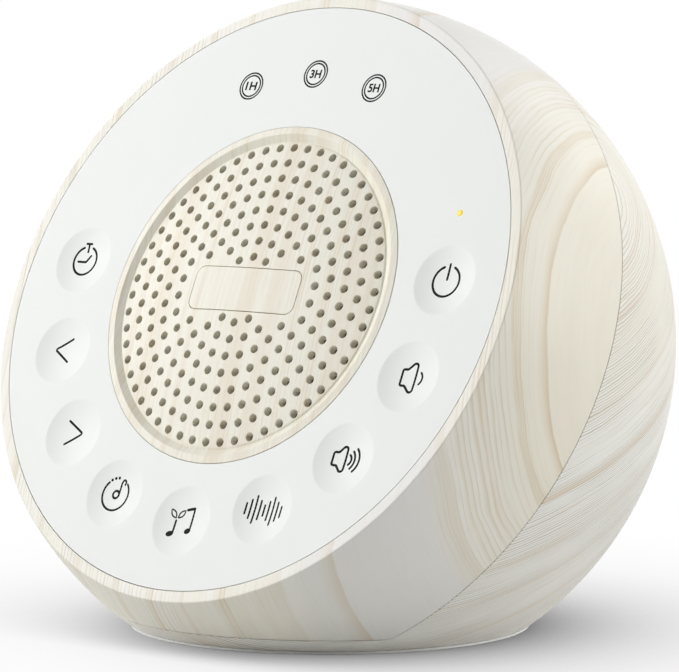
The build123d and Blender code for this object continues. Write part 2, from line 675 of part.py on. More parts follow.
def write_screws():
    long_screw = screw(HEAD_R, HEAD_H, SHANK_R, TOWER_FLOOR + BOSS_DEPTH - 2 * WALL)
    towers = on_circle(TOWER_CIRCLE_R, TOWER_ANGLES)
    save("shell_screws", Compound([Pos(x, y, TOWER_FLOOR) * long_screw for x, y in towers]), FACE)

    board_screw = screw(SMALL_HEAD_R, HEAD_H, SHANK_R, BOARD_T + POST_H + DECK_T / 2)
    posts = on_circle(POST_CIRCLE_R, POST_ANGLES)
    save("key_board_screws", Compound([Pos(x, y, BOARD_TOP) * board_screw for x, y in posts]), FACE)

    ear_screw = Rot(180, 0, 0) * screw(SMALL_HEAD_R, HEAD_H, SHANK_R, BASKET_T + GASKET_T + DECK_T)
    ears = on_circle(EAR_CIRCLE_R, EAR_ANGLES)
    ear_back = SPEAKER_Z - BASKET_T
    save("speaker_screws", Compound([Pos(x, y, ear_back) * ear_screw for x, y in ears]), FACE)

    seat = BASE_LIFT + BASE_SCREW_SINK
    base_screw = Rot(180, 0, 0) * screw(BASE_HEAD_R, BASE_HEAD_H, SHANK_R, BASE_BOSS_TOP - SKIRT_TOP)
    bosses = on_circle(BASE_BOSS_CIRCLE_R, BASE_BOSS_ANGLES)
    save("base_screws", Compound([Pos(x, y, seat) * base_screw for x, y in bosses]))

    main_screw = screw(SMALL_HEAD_R, HEAD_H, SHANK_R, MAIN_Z - SKIRT_TOP)
    save("main_board_screws", Compound([Pos(x, y, MAIN_TOP) * main_screw for x, y in MAIN_POSTS]))


def write_base():
    save("front_shell", front_shell())
    save("rear_shell", rear_shell())
    save("base_plate", base_plate())
    save("foot_pad", foot_pad())
    save("main_board", main_board())
    save("socket_bay", socket_bay())
    save("dc_jack", dc_jack())
    save("dc_jack_pin", dc_pin())
    save("audio_jack", audio_jack())


write_face_pieces()
write_speaker()
write_screws()
write_base()
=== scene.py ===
import json
from math import asin, atan2, cos, degrees, pi, radians, sin, sqrt, tan

import bpy
from mathutils import Matrix, Vector


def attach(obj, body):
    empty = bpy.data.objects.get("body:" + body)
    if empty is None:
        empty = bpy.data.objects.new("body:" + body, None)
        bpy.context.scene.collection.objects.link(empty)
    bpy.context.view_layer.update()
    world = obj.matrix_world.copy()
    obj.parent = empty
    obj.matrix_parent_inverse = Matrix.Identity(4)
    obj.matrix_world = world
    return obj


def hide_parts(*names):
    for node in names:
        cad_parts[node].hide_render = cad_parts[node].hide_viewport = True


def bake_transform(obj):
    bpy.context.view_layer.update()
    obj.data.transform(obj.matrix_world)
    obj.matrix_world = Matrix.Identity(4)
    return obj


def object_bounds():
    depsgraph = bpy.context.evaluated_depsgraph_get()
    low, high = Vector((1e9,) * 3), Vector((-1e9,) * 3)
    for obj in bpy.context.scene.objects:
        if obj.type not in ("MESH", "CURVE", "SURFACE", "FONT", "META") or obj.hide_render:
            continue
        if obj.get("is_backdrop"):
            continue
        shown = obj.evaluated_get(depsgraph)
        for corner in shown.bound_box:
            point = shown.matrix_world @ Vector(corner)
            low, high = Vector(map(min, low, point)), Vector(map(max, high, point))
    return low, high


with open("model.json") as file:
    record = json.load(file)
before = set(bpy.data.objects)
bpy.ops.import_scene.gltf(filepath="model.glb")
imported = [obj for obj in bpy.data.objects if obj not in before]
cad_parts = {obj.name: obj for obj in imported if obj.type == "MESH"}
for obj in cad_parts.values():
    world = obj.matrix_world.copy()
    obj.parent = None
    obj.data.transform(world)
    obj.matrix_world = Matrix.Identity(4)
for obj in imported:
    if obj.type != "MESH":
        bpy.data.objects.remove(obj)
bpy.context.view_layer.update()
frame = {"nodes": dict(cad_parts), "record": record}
nodes = frame["nodes"]
print("frame loaded")

mm = 0.001

# the ball, and the leaning frame in which its round face is worked: z runs out of the face
ball = {
    "radius": 60.0, "centreHeight": 49.2, "lean": 25.0, "faceDepth": 23.2, "wall": 2.4,
    "skirtTop": 2.9, "skirtBottom": 0.62, "steps": 192, "backBits": 45, "frontBits": 11, "insideBits": 50,
}
cutter = {"wide": 200.0, "deep": 20.0}
facePlace = Matrix.Translation((0, 0, ball["centreHeight"] * mm)) @ Matrix.Rotation(
    radians(90 - ball["lean"]), 4, "X"
)
outward = (facePlace.to_3x3() @ Vector((0, 0, 1))).normalized()
ballCentre = Vector((0, 0, ball["centreHeight"] * mm))
faceTop = ball["faceDepth"]


# modelling helpers
def deselect():
    if bpy.context.object and bpy.context.object.mode != "OBJECT":
        bpy.ops.object.mode_set(mode="OBJECT")
    bpy.ops.object.select_all(action="DESELECT")


def pick(first, *others):
    deselect()
    for piece in (first, *others):
        piece.select_set(True)
    bpy.context.view_layer.objects.active = first


def softened(corners, closed=False, bits=4):
    # corners are (across, up) or (across, up, rounding)
    points = []
    for i, corner in enumerate(corners):
        here = Vector(corner[:2])
        rounding = corner[2] if len(corner) > 2 else 0
        if not rounding or (not closed and i in (0, len(corners) - 1)):
            points.append(here)
            continue
        back = (Vector(corners[i - 1][:2]) - here).normalized()
        on = (Vector(corners[(i + 1) % len(corners)][:2]) - here).normalized()
        half = back.angle(on) / 2
        centre = here + (back + on).normalized() * (rounding / sin(half))
        start = here + back * (rounding / tan(half)) - centre
        turn = start.angle_signed(here + on * (rounding / tan(half)) - centre)
        for bit in range(bits + 1):
            angle = atan2(start.y, start.x) - turn * bit / bits
            points.append(centre + rounding * Vector((cos(angle), sin(angle))))
    return [tuple(p) for p in points]


def arcOf(radius, first, last, bits, middle=(0, 0)):
    angles = [radians(first + (last - first) * i / bits) for i in range(bits + 1)]
    return [(middle[0] + radius * cos(a), middle[1] + radius * sin(a)) for a in angles]


def turnedPiece(name, outline, steps=ball["steps"]):
    # a plane is shrunk to one point, which is pulled round the outline and spun about z
    deselect()
    bpy.ops.mesh.primitive_plane_add(size=mm)
    piece = bpy.context.object
    piece.name = name
    bpy.context.tool_settings.mesh_select_mode = (True, False, False)
    bpy.ops.object.mode_set(mode="EDIT")
    bpy.ops.mesh.select_all(action="SELECT")
    bpy.ops.mesh.merge(type="CENTER")
    points = [Vector((across, 0, up)) * mm for across, up in outline]
    bpy.ops.transform.translate(value=points[0])
    for start, end in zip(points, points[1:]):
        bpy.ops.mesh.extrude_vertices_move(TRANSFORM_OT_translate={"value": end - start})
    bpy.ops.mesh.select_all(action="SELECT")
    bpy.ops.mesh.spin(steps=steps, angle=2 * pi, center=(0, 0, 0), axis=(0, 0, 1))
    bpy.ops.mesh.select_all(action="SELECT")
    bpy.ops.mesh.remove_doubles(threshold=0.002 * mm)
    bpy.ops.mesh.normals_make_consistent(inside=False)
    bpy.ops.object.mode_set(mode="OBJECT")
    return piece


def ringPiece(name, corners, steps, bits=4):
    # turned ring, whose outline comes back to its start
    outline = softened(corners, bits=bits)
    return turnedPiece(name, [*outline, outline[0]], steps)


def plug(name, radius, low, high, steps=48):
    # plain cylinder that cuts a hole
    return turnedPiece(name, [(0, low), (radius, low), (radius, high), (0, high)], steps)


def roundedBlock(name, size, rounding, bits=8):
    # a cube with its four upright edges rounded
    deselect()
    bpy.ops.mesh.primitive_cube_add(size=1, scale=[s * mm for s in size])
    block = bpy.context.object
    block.name = name
    bpy.ops.object.transform_apply(location=True, rotation=True, scale=True)
    if rounding:
        selectEdges(block, lambda a, b: abs(a.z - b.z) > 0.9 * size[2] * mm)
        bpy.ops.mesh.bevel(offset=rounding * mm, segments=bits, affect="EDGES")
        bpy.ops.object.mode_set(mode="OBJECT")
    return block


def selectEdges(piece, wanted):
    # leaves the piece in edit mode
    pick(piece)
    bpy.context.tool_settings.mesh_select_mode = (False, True, False)
    bpy.ops.object.mode_set(mode="EDIT")
    bpy.ops.mesh.select_all(action="DESELECT")
    bpy.ops.object.mode_set(mode="OBJECT")
    points = piece.data.vertices
    for edge in piece.data.edges:
        edge.select = wanted(points[edge.vertices[0]].co, points[edge.vertices[1]].co)
    bpy.ops.object.mode_set(mode="EDIT")


def bevelEdges(piece, width, bits, wanted):
    selectEdges(piece, wanted)
    bpy.ops.mesh.bevel(offset=width * mm, segments=bits, affect="EDGES", clamp_overlap=True)
    bpy.ops.object.mode_set(mode="OBJECT")


def placed(piece, place):
    # the place goes into the mesh, and the object stays at the origin
    pick(piece)
    piece.matrix_world = place @ piece.matrix_world
    bpy.context.view_layer.update()
    bpy.ops.object.transform_apply(location=True, rotation=True, scale=True)
    return piece


def combined(piece, other, how="DIFFERENCE"):
    pick(piece)
    bpy.ops.object.modifier_add(type="BOOLEAN")
    boolean = piece.modifiers[-1]
    boolean.operation = how
    boolean.object = other
    boolean.solver = "EXACT"
    bpy.ops.object.modifier_apply(modifier=boolean.name)
    bpy.data.objects.remove(other, do_unlink=True)
    return piece


def copied(piece, place):
    twin = piece.copy()
    twin.data = piece.data.copy()
    bpy.context.scene.collection.objects.link(twin)
    return placed(twin, place)


def joined(pieces, name):
    pick(*pieces)
    bpy.ops.object.join()
    bpy.context.object.name = name
    return bpy.context.object


def repeated(piece, places, name):
    # one mesh of copies at the places, in which the piece itself is used up
    copies = [copied(piece, place) for place in places]
    bpy.data.objects.remove(piece, do_unlink=True)
    return joined(copies, name)


def finished(piece, material, angle=32, body="housing", stands=()):
    pick(piece)
    bpy.ops.object.shade_smooth_by_angle(angle=radians(angle))
    bpy.ops.object.modifier_add(type="WEIGHTED_NORMAL")
    piece.modifiers[-1].keep_sharp = True
    bpy.ops.object.modifier_apply(modifier=piece.modifiers[-1].name)
    # a drilled piece keeps its second material in its holes: the painted shade on the hole walls
    if len(piece.data.materials) < 2:
        piece.data.materials.clear()
        piece.data.materials.append(material)
    if body:
        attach(piece, body)
    if stands:
        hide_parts(*stands)
    return piece


# materials
def colour(code):
    # sRGB hex to the linear values that Blender uses
    parts = [int(code[i:i + 2], 16) / 255 for i in (0, 2, 4)]
    return [*(p / 12.92 if p <= 0.04045 else ((p + 0.055) / 1.055) ** 2.4 for p in parts), 1]


def addNode(tree, kind, settings=None, links=None):
    made = tree.nodes.new(kind)
    for name, value in (settings or {}).items():
        if isinstance(name, int) or name in made.inputs:
            made.inputs[name].default_value = value
        else:
            setattr(made, name, value)
    for socket, source in (links or {}).items():
        tree.links.new(source, made.inputs[socket])
    return made


def newMaterial(name, settings):
    material = bpy.data.materials.new(name)
    material.use_nodes = True
    tree = material.node_tree
    shader = tree.nodes["Principled BSDF"]
    for socket, value in settings.items():
        shader.inputs[socket].default_value = value
    place = addNode(tree, "ShaderNodeTexCoord").outputs["Object"]
    return material, tree, shader, place


def stops(ramp, places, smooth="LINEAR"):
    # colour stops as (place, hex or grey)
    ramp.color_ramp.interpolation = smooth
    elements = ramp.color_ramp.elements
    while len(elements) < len(places):
        elements.new(1.0)
    for element, (place, value) in zip(elements, places):
        element.position = place
        element.color = colour(value) if isinstance(value, str) else (value, value, value, 1)


# how a growth line's tan rises and falls across its width
veinShapes = {
    "thinPair": [
        (0.0, 0.0), (0.3, 0.08), (0.52, 0.3), (0.6, 0.95), (0.68, 0.3), (0.84, 0.45), (0.91, 1.0),
        (0.97, 0.0),
    ],
    "softBand": [(0.0, 0.0), (0.45, 0.35), (0.8, 0.9), (0.88, 1.0), (0.98, 0.0)],
}
veinFade = {"short": 9.0, "long": 22.0, "from": 0.3, "to": 0.62, "least": 0.35}


def ashFilm(name, grain):
    # printed ash film bonded over the shell, satin lacquered
    # pale cream to the eye, with tan growth lines and fine pores
    material, tree, shader, place = newMaterial(name, {"Roughness": grain["roughness"], "IOR": 1.5})
    local = addNode(
        tree, "ShaderNodeMapping",
        {"vector_type": "TEXTURE", "Location": [v * mm for v in grain["pith"]],
         "Rotation": [radians(a) for a in grain["turn"]], "Scale": (mm, mm, mm)},
        {"Vector": place},
    ).outputs["Vector"]
    split = addNode(tree, "ShaderNodeSeparateXYZ", links={"Vector": local})
    height = addNode(tree, "ShaderNodeSeparateXYZ", links={"Vector": place}).outputs["Z"]

    # depth across the growth layers, in mm, spread so that the lines keep their spacing over the ball
    if grain["round"]:
        flat = addNode(
            tree, "ShaderNodeCombineXYZ", links={"X": split.outputs["X"], "Y": split.outputs["Y"]}
        ).outputs["Vector"]
        ring = addNode(tree, "ShaderNodeVectorMath", {"operation": "LENGTH"}, {0: flat}).outputs["Value"]
        left = addNode(tree, "ShaderNodeMath", {"operation": "SUBTRACT", 0: grain["reach"]}, {1: ring})
        spread = addNode(tree, "ShaderNodeMath", {"operation": "SQRT"}, {0: left.outputs["Value"]})
    else:
        share = addNode(
            tree, "ShaderNodeMath", {"operation": "DIVIDE", 1: grain["reach"]}, {0: split.outputs["X"]}
        )
        spread = addNode(tree, "ShaderNodeMath", {"operation": "ARCSINE"}, {0: share.outputs["Value"]})
    depth = addNode(
        tree, "ShaderNodeMath", {"operation": "MULTIPLY", 1: grain["spread"]}, {0: spread.outputs["Value"]}
    ).outputs["Value"]
    layered = addNode(
        tree, "ShaderNodeCombineXYZ", links={"X": depth, "Y": split.outputs["Y"], "Z": split.outputs["Z"]}
    ).outputs["Vector"]

    def drift(short, long, detail=2.0):
        # noise that changes quickly across the layers and slowly along them
        scaled = addNode(
            tree, "ShaderNodeVectorMath", {"operation": "DIVIDE", 1: (short, long, long)}, {0: layered}
        ).outputs["Vector"]
        return addNode(
            tree, "ShaderNodeTexNoise", {"Scale": 1.0, "Detail": detail}, {"Vector": scaled}
        ).outputs["Fac"]

    for wander in grain["wanders"]:
        depth = addNode(
            tree, "ShaderNodeMath", {"operation": "MULTIPLY_ADD", 1: wander["by"]},
            {0: drift(wander["short"], wander["long"]), 2: depth},
        ).outputs["Value"]

    # broad pale bands
    bands = addNode(
        tree, "ShaderNodeTexNoise",
        {"noise_dimensions": "1D", "Scale": 1 / grain["bandWidth"], "Detail": 2.0, "Roughness": 0.55},
        {"W": depth},
    ).outputs["Fac"]
    base = addNode(tree, "ShaderNodeValToRGB", links={"Fac": bands})
    stops(base, grain["bands"], "EASE")
    tone = base.outputs["Color"]

    def tinted(code, *shares):
        # lays a colour over the tone, by the product of the shares
        amount = shares[0]
        for share in shares[1:]:
            amount = addNode(
                tree, "ShaderNodeMath", {"operation": "MULTIPLY"}, {0: amount, 1: share}
            ).outputs["Value"]
        return addNode(
            tree, "ShaderNodeMix", {"data_type": "RGBA", 7: colour(code)}, {0: amount, 6: tone}
        ).outputs[2]

    def limits(entry):
        # zones go by depth and heights by height, each from none at the first to all at the second
        spans = [(depth, *zone, 0.0) for zone in entry.get("zones", [])]
        if "heights" in entry:
            spans.append((height, *(h * mm for h in entry["heights"]), entry.get("highShare", 0.0)))
        return [
            addNode(
                tree, "ShaderNodeMapRange",
                {"interpolation_type": "SMOOTHSTEP", "From Min": first, "From Max": last, "To Min": least},
                {"Value": value},
            ).outputs["Result"]
            for value, first, last, least in spans
        ]

    # greyer, yellower and whiter zones of the film, laid by depth across the layers or by height
    for wash in grain["washes"]:
        first, *others = limits(wash)
        most = addNode(
            tree, "ShaderNodeMath", {"operation": "MULTIPLY", 1: wash["strength"]}, {0: first}
        ).outputs["Value"]
        tone = tinted(wash["colour"], most, *others)

    # single strong growth lines: the tan deepens slowly and ends sharply
    fade = addNode(
        tree, "ShaderNodeMapRange",
        {"From Min": veinFade["from"], "From Max": veinFade["to"], "To Min": veinFade["least"]},
        {"Value": drift(veinFade["short"], veinFade["long"])},
    ).outputs["Result"]
    veins = None
    for place, width, strength, thin in grain["veins"]:
        part = addNode(
            tree, "ShaderNodeMapRange", {"From Min": place - width, "From Max": place + 0.2 * width},
            {"Value": depth},
        ).outputs["Result"]
        shape = addNode(tree, "ShaderNodeValToRGB", links={"Fac": part})
        stops(shape, veinShapes["thinPair" if thin else "softBand"])
        amount = addNode(
            tree, "ShaderNodeMath", {"operation": "MULTIPLY", 1: strength}, {0: shape.outputs["Color"]}
        ).outputs["Value"]
        veins = amount if veins is None else addNode(
            tree, "ShaderNodeMath", {"operation": "MAXIMUM"}, {0: veins, 1: amount}
        ).outputs["Value"]
    tone = tinted(grain["veinColour"], veins, fade)

    # many thin lines, coming and going in patches
    for line in grain["lines"]:
        jitter = addNode(
            tree, "ShaderNodeTexNoise",
            {"noise_dimensions": "1D", "Scale": 0.4 / line["spacing"], "Detail": 2.0}, {"W": depth},
        ).outputs["Fac"]
        shifted = addNode(
            tree, "ShaderNodeMath", {"operation": "MULTIPLY_ADD", 1: line["jitter"] * line["spacing"]},
            {0: jitter, 2: depth},
        ).outputs["Value"]
        phase = addNode(
            tree, "ShaderNodeMath", {"operation": "DIVIDE", 1: line["spacing"]}, {0: shifted}
        ).outputs["Value"]
        part = addNode(tree, "ShaderNodeMath", {"operation": "FRACT"}, {0: phase}).outputs["Value"]
        shape = addNode(tree, "ShaderNodeValToRGB", links={"Fac": part})
        stops(shape, [(0.0, 0.0), (1 - line["width"], 0.0), (1 - 0.35 * line["width"], 1.0), (0.99, 0.0)])
        patch = addNode(
            tree, "ShaderNodeMapRange",
            {"interpolation_type": "SMOOTHSTEP", "From Min": line["fade"][0], "From Max": line["fade"][1],
             "To Min": line["least"], "To Max": line["strength"]},
            {"Value": drift(line["patch"] * 0.4, line["patch"])},
        ).outputs["Result"]
        tone = tinted(line["colour"], patch, *limits(line), shape.outputs["Color"])

    # short pores along the grain
    pores = drift(grain["pore"], grain["poreLength"], 1.0)
    specks = addNode(
        tree, "ShaderNodeMapRange",
        {"From Min": 0.45, "From Max": 0.75, "To Min": 0.0, "To Max": grain["poreDepth"]}, {"Value": pores},
    ).outputs["Result"]
    tone = tinted(grain["poreColour"], specks)
    tree.links.new(tone, shader.inputs["Base Color"])
    bump = addNode(tree, "ShaderNodeBump", {"Strength": 0.05, "Distance": 0.02 * mm}, {"Height": pores})
    tree.links.new(bump.outputs["Normal"], shader.inputs["Normal"])
    return material


ballMiddle = (0.0, 0.0, ball["centreHeight"])
frontGrain = {
    # nearly flat layers, upright and facing right
    "round": False, "pith": ballMiddle, "turn": (0, -1.95, 15.8), "reach": 61.5, "spread": 60.0,
    "roughness": 0.4,
    "wanders": [{"short": 16, "long": 30, "by": 3.2}, {"short": 3, "long": 7, "by": 0.7}],
    "bandWidth": 12.0,
    "bands": [(0.3, "F4F1E5"), (0.48, "F6F3EA"), (0.64, "F2EFE2"), (0.8, "F4F1E6")],
    # zones: from none at the first depth to all at the second
    "washes": [
        {"colour": "EDEDEB", "strength": 0.8, "zones": [(10.0, 20.0), (46.0, 38.0)]},
        {"colour": "F4EDD8", "strength": 0.55, "zones": [(50.0, 62.0)]},
    ],
    # place, width in mm, strength, thin lines or one soft band
    "veins": [
        (62.4, 1.8, 0.7, False), (57.2, 2.0, 0.75, True), (50.7, 2.4, 0.6, True), (43.3, 4.0, 0.25, False),
        (22.2, 3.0, 0.5, False), (12.5, 4.5, 0.25, False), (2.4, 2.4, 0.7, True), (-6.0, 1.4, 0.5, True),
        (-13.0, 1.8, 0.6, True), (-21.0, 1.8, 0.6, True), (-31.0, 4.0, 0.4, False), (-43.0, 2.4, 0.6, True),
        (-55.0, 4.0, 0.4, False), (-66.0, 2.2, 0.6, True),
    ],
    "veinColour": "D6BE98",
    "lines": [
        {"spacing": 1.1, "jitter": 1.8, "width": 0.35, "patch": 22.0, "fade": (0.5, 0.68), "least": 0.02,
         "strength": 0.26, "colour": "D9CBB2", "zones": [(24.0, 6.0)]},
        {"spacing": 1.0, "jitter": 1.9, "width": 0.35, "patch": 18.0, "fade": (0.34, 0.62), "least": 0.1,
         "strength": 0.6, "colour": "BFB59C", "zones": [(12.0, -30.0)]},
        {"spacing": 1.0, "jitter": 1.9, "width": 0.4, "patch": 16.0, "fade": (0.34, 0.6), "least": 0.1,
         "strength": 0.5, "colour": "D3C39E", "zones": [(38.0, 46.0), (61.0, 56.0)]},
    ],
    "pore": 0.3, "poreLength": 7.0, "poreDepth": 0.14, "poreColour": "E0D3BD",
}
rearGrain = {
    # layers wound round a leaning pith on the left
    "round": True, "pith": (-21.8, -1.6, 39.3), "turn": (-151.4, -22.4, 0.0), "reach": 85.5, "spread": 18.0,
    "roughness": 0.4,
    "wanders": [
        {"short": 14, "long": 30, "by": 2.4}, {"short": 4, "long": 9, "by": 0.7},
        {"short": 2.4, "long": 5.5, "by": 0.3},
    ],
    "washes": [{"colour": "FAFAF7", "strength": 0.75, "heights": (58.0, 32.0)}],
    "bandWidth": 9.0,
    "bands": [(0.3, "F3F0E3"), (0.48, "F5F2E8"), (0.64, "F1EDDF"), (0.8, "F3F0E5")],
    "veins": [
        (30.5, 1.8, 0.45, True), (37.5, 2.2, 0.65, True), (54.5, 3.0, 0.4, False), (70.0, 3.0, 0.65, False),
        (84.0, 3.5, 0.4, False), (94.0, 2.6, 0.5, True), (106.0, 3.0, 0.5, False),
    ],
    "veinColour": "DBC2A2",
    "lines": [
        {"spacing": 0.66, "jitter": 0.9, "width": 0.33, "patch": 26.0, "fade": (0.3, 0.58), "least": 0.25,
         "strength": 1.0, "colour": "A49B84", "heights": (85.0, 45.0), "highShare": 0.3},
        {"spacing": 3.4, "jitter": 1.6, "width": 0.12, "patch": 18.0, "fade": (0.42, 0.6), "least": 0.1,
         "strength": 0.6, "colour": "C6B08D"},
    ],
    "pore": 0.3, "poreLength": 7.0, "poreDepth": 0.16, "poreColour": "DDCFB8",
}
grilleGrain = {
    # quarter-sawn: straight layers that run up the face
    "round": False, "pith": ballMiddle, "turn": (-25, -1.5, 2.0), "reach": 90.0, "spread": 90.0,
    "roughness": 0.45,
    "wanders": [{"short": 14, "long": 34, "by": 2.2}, {"short": 2, "long": 9, "by": 0.35}],
    "washes": [], "bandWidth": 5.0,
    "bands": [(0.3, "F3F0E0"), (0.46, "F6F3E5"), (0.62, "F0E9D8"), (0.8, "F3F0E0")],
    "veins": [
        (-19.0, 3.0, 0.4, False), (-9.0, 1.6, 0.4, True), (3.0, 2.2, 0.3, False), (13.5, 1.8, 0.6, True),
        (19.0, 2.0, 0.5, True), (27.0, 3.0, 0.4, False), (-29.0, 2.0, 0.5, True),
    ],
    "veinColour": "E2CDB0",
    "lines": [
        {"spacing": 1.1, "jitter": 1.8, "width": 0.3, "patch": 18.0, "fade": (0.42, 0.64), "least": 0.05,
         "strength": 0.4, "colour": "D9CAAD"},
    ],
    "pore": 0.2, "poreLength": 4.0, "poreDepth": 0.2, "poreColour": "DACBB0",
}
ashFilmFront = ashFilm("ashFilmFront", frontGrain)
ashFilmRear = ashFilm("ashFilmRear", rearGrain)
ashFilmGrille = ashFilm("ashFilmGrille", grilleGrain)


def mouldedPlastic(name, code, roughness, texture, depth, shift=0.02, ior=1.5):
    # moulded plastic: even colour, and a spark-eroded texture that only softens the highlight
    # its grit is drawn coarser than the real 0.05 mm, so that it shows
    cloudSize = 18.0
    material, tree, shader, place = newMaterial(name, {"Roughness": roughness, "IOR": ior})
    grit = addNode(
        tree, "ShaderNodeTexNoise", {"Scale": 1 / (texture * mm), "Detail": 2.0}, {"Vector": place}
    ).outputs["Fac"]
    cloud = addNode(
        tree, "ShaderNodeTexNoise", {"Scale": 1 / (cloudSize * mm), "Detail": 1.0}, {"Vector": place}
    ).outputs["Fac"]
    tint = addNode(tree, "ShaderNodeValToRGB", links={"Fac": cloud})
    low = [c * (1 - shift) for c in colour(code)[:3]]
    high = [min(1, c * (1 + shift)) for c in colour(code)[:3]]
    tint.color_ramp.elements[0].position, tint.color_ramp.elements[1].position = 0.3, 0.7
    tint.color_ramp.elements[0].color = (*low, 1)
    tint.color_ramp.elements[1].color = (*high, 1)
    tree.links.new(tint.outputs["Color"], shader.inputs["Base Color"])
    bump = addNode(tree, "ShaderNodeBump", {"Strength": 0.15, "Distance": depth * mm}, {"Height": grit})
    tree.links.new(bump.outputs["Normal"], shader.inputs["Normal"])
    return material


satinWhite = mouldedPlastic("satinWhitePolycarbonate", "EEF0EE", 0.38, 0.25, 0.004, 0.004)
whiteAbs = mouldedPlastic("whiteAbs", "F2F3F1", 0.45, 0.3, 0.006, 0.006)
blackNylon = mouldedPlastic("blackNylon", "1C1D1F", 0.5, 0.3, 0.01)
greyAcetal = mouldedPlastic("greyAcetal", "6E7072", 0.45, 0.3, 0.01)
padInk = mouldedPlastic("charcoalPadInk", "0E1011", 0.85, 0.2, 0.002, ior=1.33)
# painted shade: the hole walls are cream plastic, drawn grey-brown for the shade inside the small holes
shadedHoleWall = mouldedPlastic("paintedShadeHoleWall", "7E796D", 0.7, 0.4, 0.004)
softRubber = mouldedPlastic("softRubber", "9B9C9A", 0.7, 0.5, 0.03)


def wovenGauze(name, code, thread):
    # gauze in plain weave, two crossing sets of round threads: a dull cloth, darker between them
    # the threads are drawn coarser than the real 0.15 mm, so that they show
    material, tree, shader, place = newMaterial(name, {"Roughness": 0.85, "Sheen Weight": 0.2})
    weave = []
    for turn in (0, 90):
        turned = addNode(tree, "ShaderNodeMapping", {"Rotation": (0, radians(turn), 0)}, {"Vector": place})
        weave.append(addNode(
            tree, "ShaderNodeTexWave", {"Scale": 0.05 / (thread * mm), "Distortion": 0.3},
            {"Vector": turned.outputs["Vector"]},
        ).outputs["Fac"])
    both = addNode(
        tree, "ShaderNodeMath", {"operation": "MULTIPLY"}, {0: weave[0], 1: weave[1]}
    ).outputs["Value"]
    tint = addNode(tree, "ShaderNodeValToRGB", links={"Fac": both})
    stops(tint, [(0.0, "4E4B41"), (0.8, code)])
    tree.links.new(tint.outputs["Color"], shader.inputs["Base Color"])
    bump = addNode(tree, "ShaderNodeBump", {"Strength": 0.5, "Distance": 0.05 * mm}, {"Height": both})
    tree.links.new(bump.outputs["Normal"], shader.inputs["Normal"])
    return material


darkGauze = wovenGauze("darkGauze", "7C786C", 0.3)


def metal(name, code, roughness, scratch):
    # turned or rolled metal with its default IOR: the tool marks break up its reflections a little
    material, tree, shader, place = newMaterial(name, {"Base Color": colour(code), "Metallic": 1.0})
    marks = addNode(
        tree, "ShaderNodeTexNoise", {"Scale": 1 / (scratch * mm), "Detail": 3.0}, {"Vector": place}
    ).outputs["Fac"]
    smoother, rougher = 0.08, 0.1
    rough = addNode(
        tree, "ShaderNodeMapRange", {"To Min": roughness - smoother, "To Max": roughness + rougher},
        {"Value": marks},
    ).outputs["Result"]
    tree.links.new(rough, shader.inputs["Roughness"])
    return material


zincSteel = metal("zincPlatedSteel", "B9BABB", 0.38, 0.6)
nickelPlate = metal("nickelPlate", "D0CFC9", 0.22, 0.8)
copperWire = metal("enamelledCopper", "B8743F", 0.35, 0.4)


def amberLight():
    # amber acrylic light pipe, lit from behind: faint clouds in the moulding
    cloudSize = 0.4
    material, tree, shader, place = newMaterial(
        "amberAcrylic", {"Roughness": 0.3, "IOR": 1.49, "Emission Strength": 0.35}
    )
    cloud = addNode(
        tree, "ShaderNodeTexNoise", {"Scale": 1 / (cloudSize * mm), "Detail": 2.0}, {"Vector": place}
    ).outputs["Fac"]
    tint = addNode(tree, "ShaderNodeValToRGB", links={"Fac": cloud})
    stops(tint, [(0.3, "E9BE14"), (0.7, "F8DA34")])
    tree.links.new(tint.outputs["Color"], shader.inputs["Base Color"])
    tree.links.new(tint.outputs["Color"], shader.inputs["Emission Color"])
    return material


amberLens = amberLight()
innerFinishes = {
    "circuit_board": mouldedPlastic("greenSolderMask", "1F6B43", 0.35, 0.8, 0.01),
    "steel": zincSteel, "screw_steel": zincSteel, "plated_metal": nickelPlate, "copper": copperWire,
    "ferrite": mouldedPlastic("blackFerrite", "333335", 0.6, 0.6, 0.02),
    "paper_cone": mouldedPlastic("pressedPaper", "1B1B1D", 0.85, 0.7, 0.05),
    "spider_cloth": wovenGauze("resinCloth", "B99A5C", 0.5),
    "dark_gauze": darkGauze, "amber_clear": amberLens,
    "milky_clear": mouldedPlastic("milkyAcrylic", "E6E8E6", 0.3, 0.8, 0.002),
    "light_chip": mouldedPlastic("lightChip", "E9E2B8", 0.4, 0.5, 0.002),
    "soft_rubber": mouldedPlastic("butylRubber", "17181A", 0.75, 0.6, 0.03),
    "gasket_foam": mouldedPlastic("blackFoam", "202022", 0.95, 0.4, 0.08),
    "foot_rubber": softRubber, "black_plastic": blackNylon, "grey_plastic": greyAcetal,
    "wood_film": ashFilmFront, "white_plastic": satinWhite,
}
for entry in frame["record"]["subparts"]:
    node = nodes[entry["node"]]
    for slot in node.material_slots:
        slot.material = innerFinishes[entry["material_slot"]]
print("materials made")


# the two halves of the ball, from one turned shell cut by the seam
shell = {
    "rimRounding": 0.3, "pocket": 53.37, "pocketRounding": 0.06, "panelDepth": 2.0, "ledgeIn": 3.0,
    "ledge": 2.2, "seamBevel": 0.1, "seamGap": 0.2, "skin": 0.3, "near": 0.01,
}


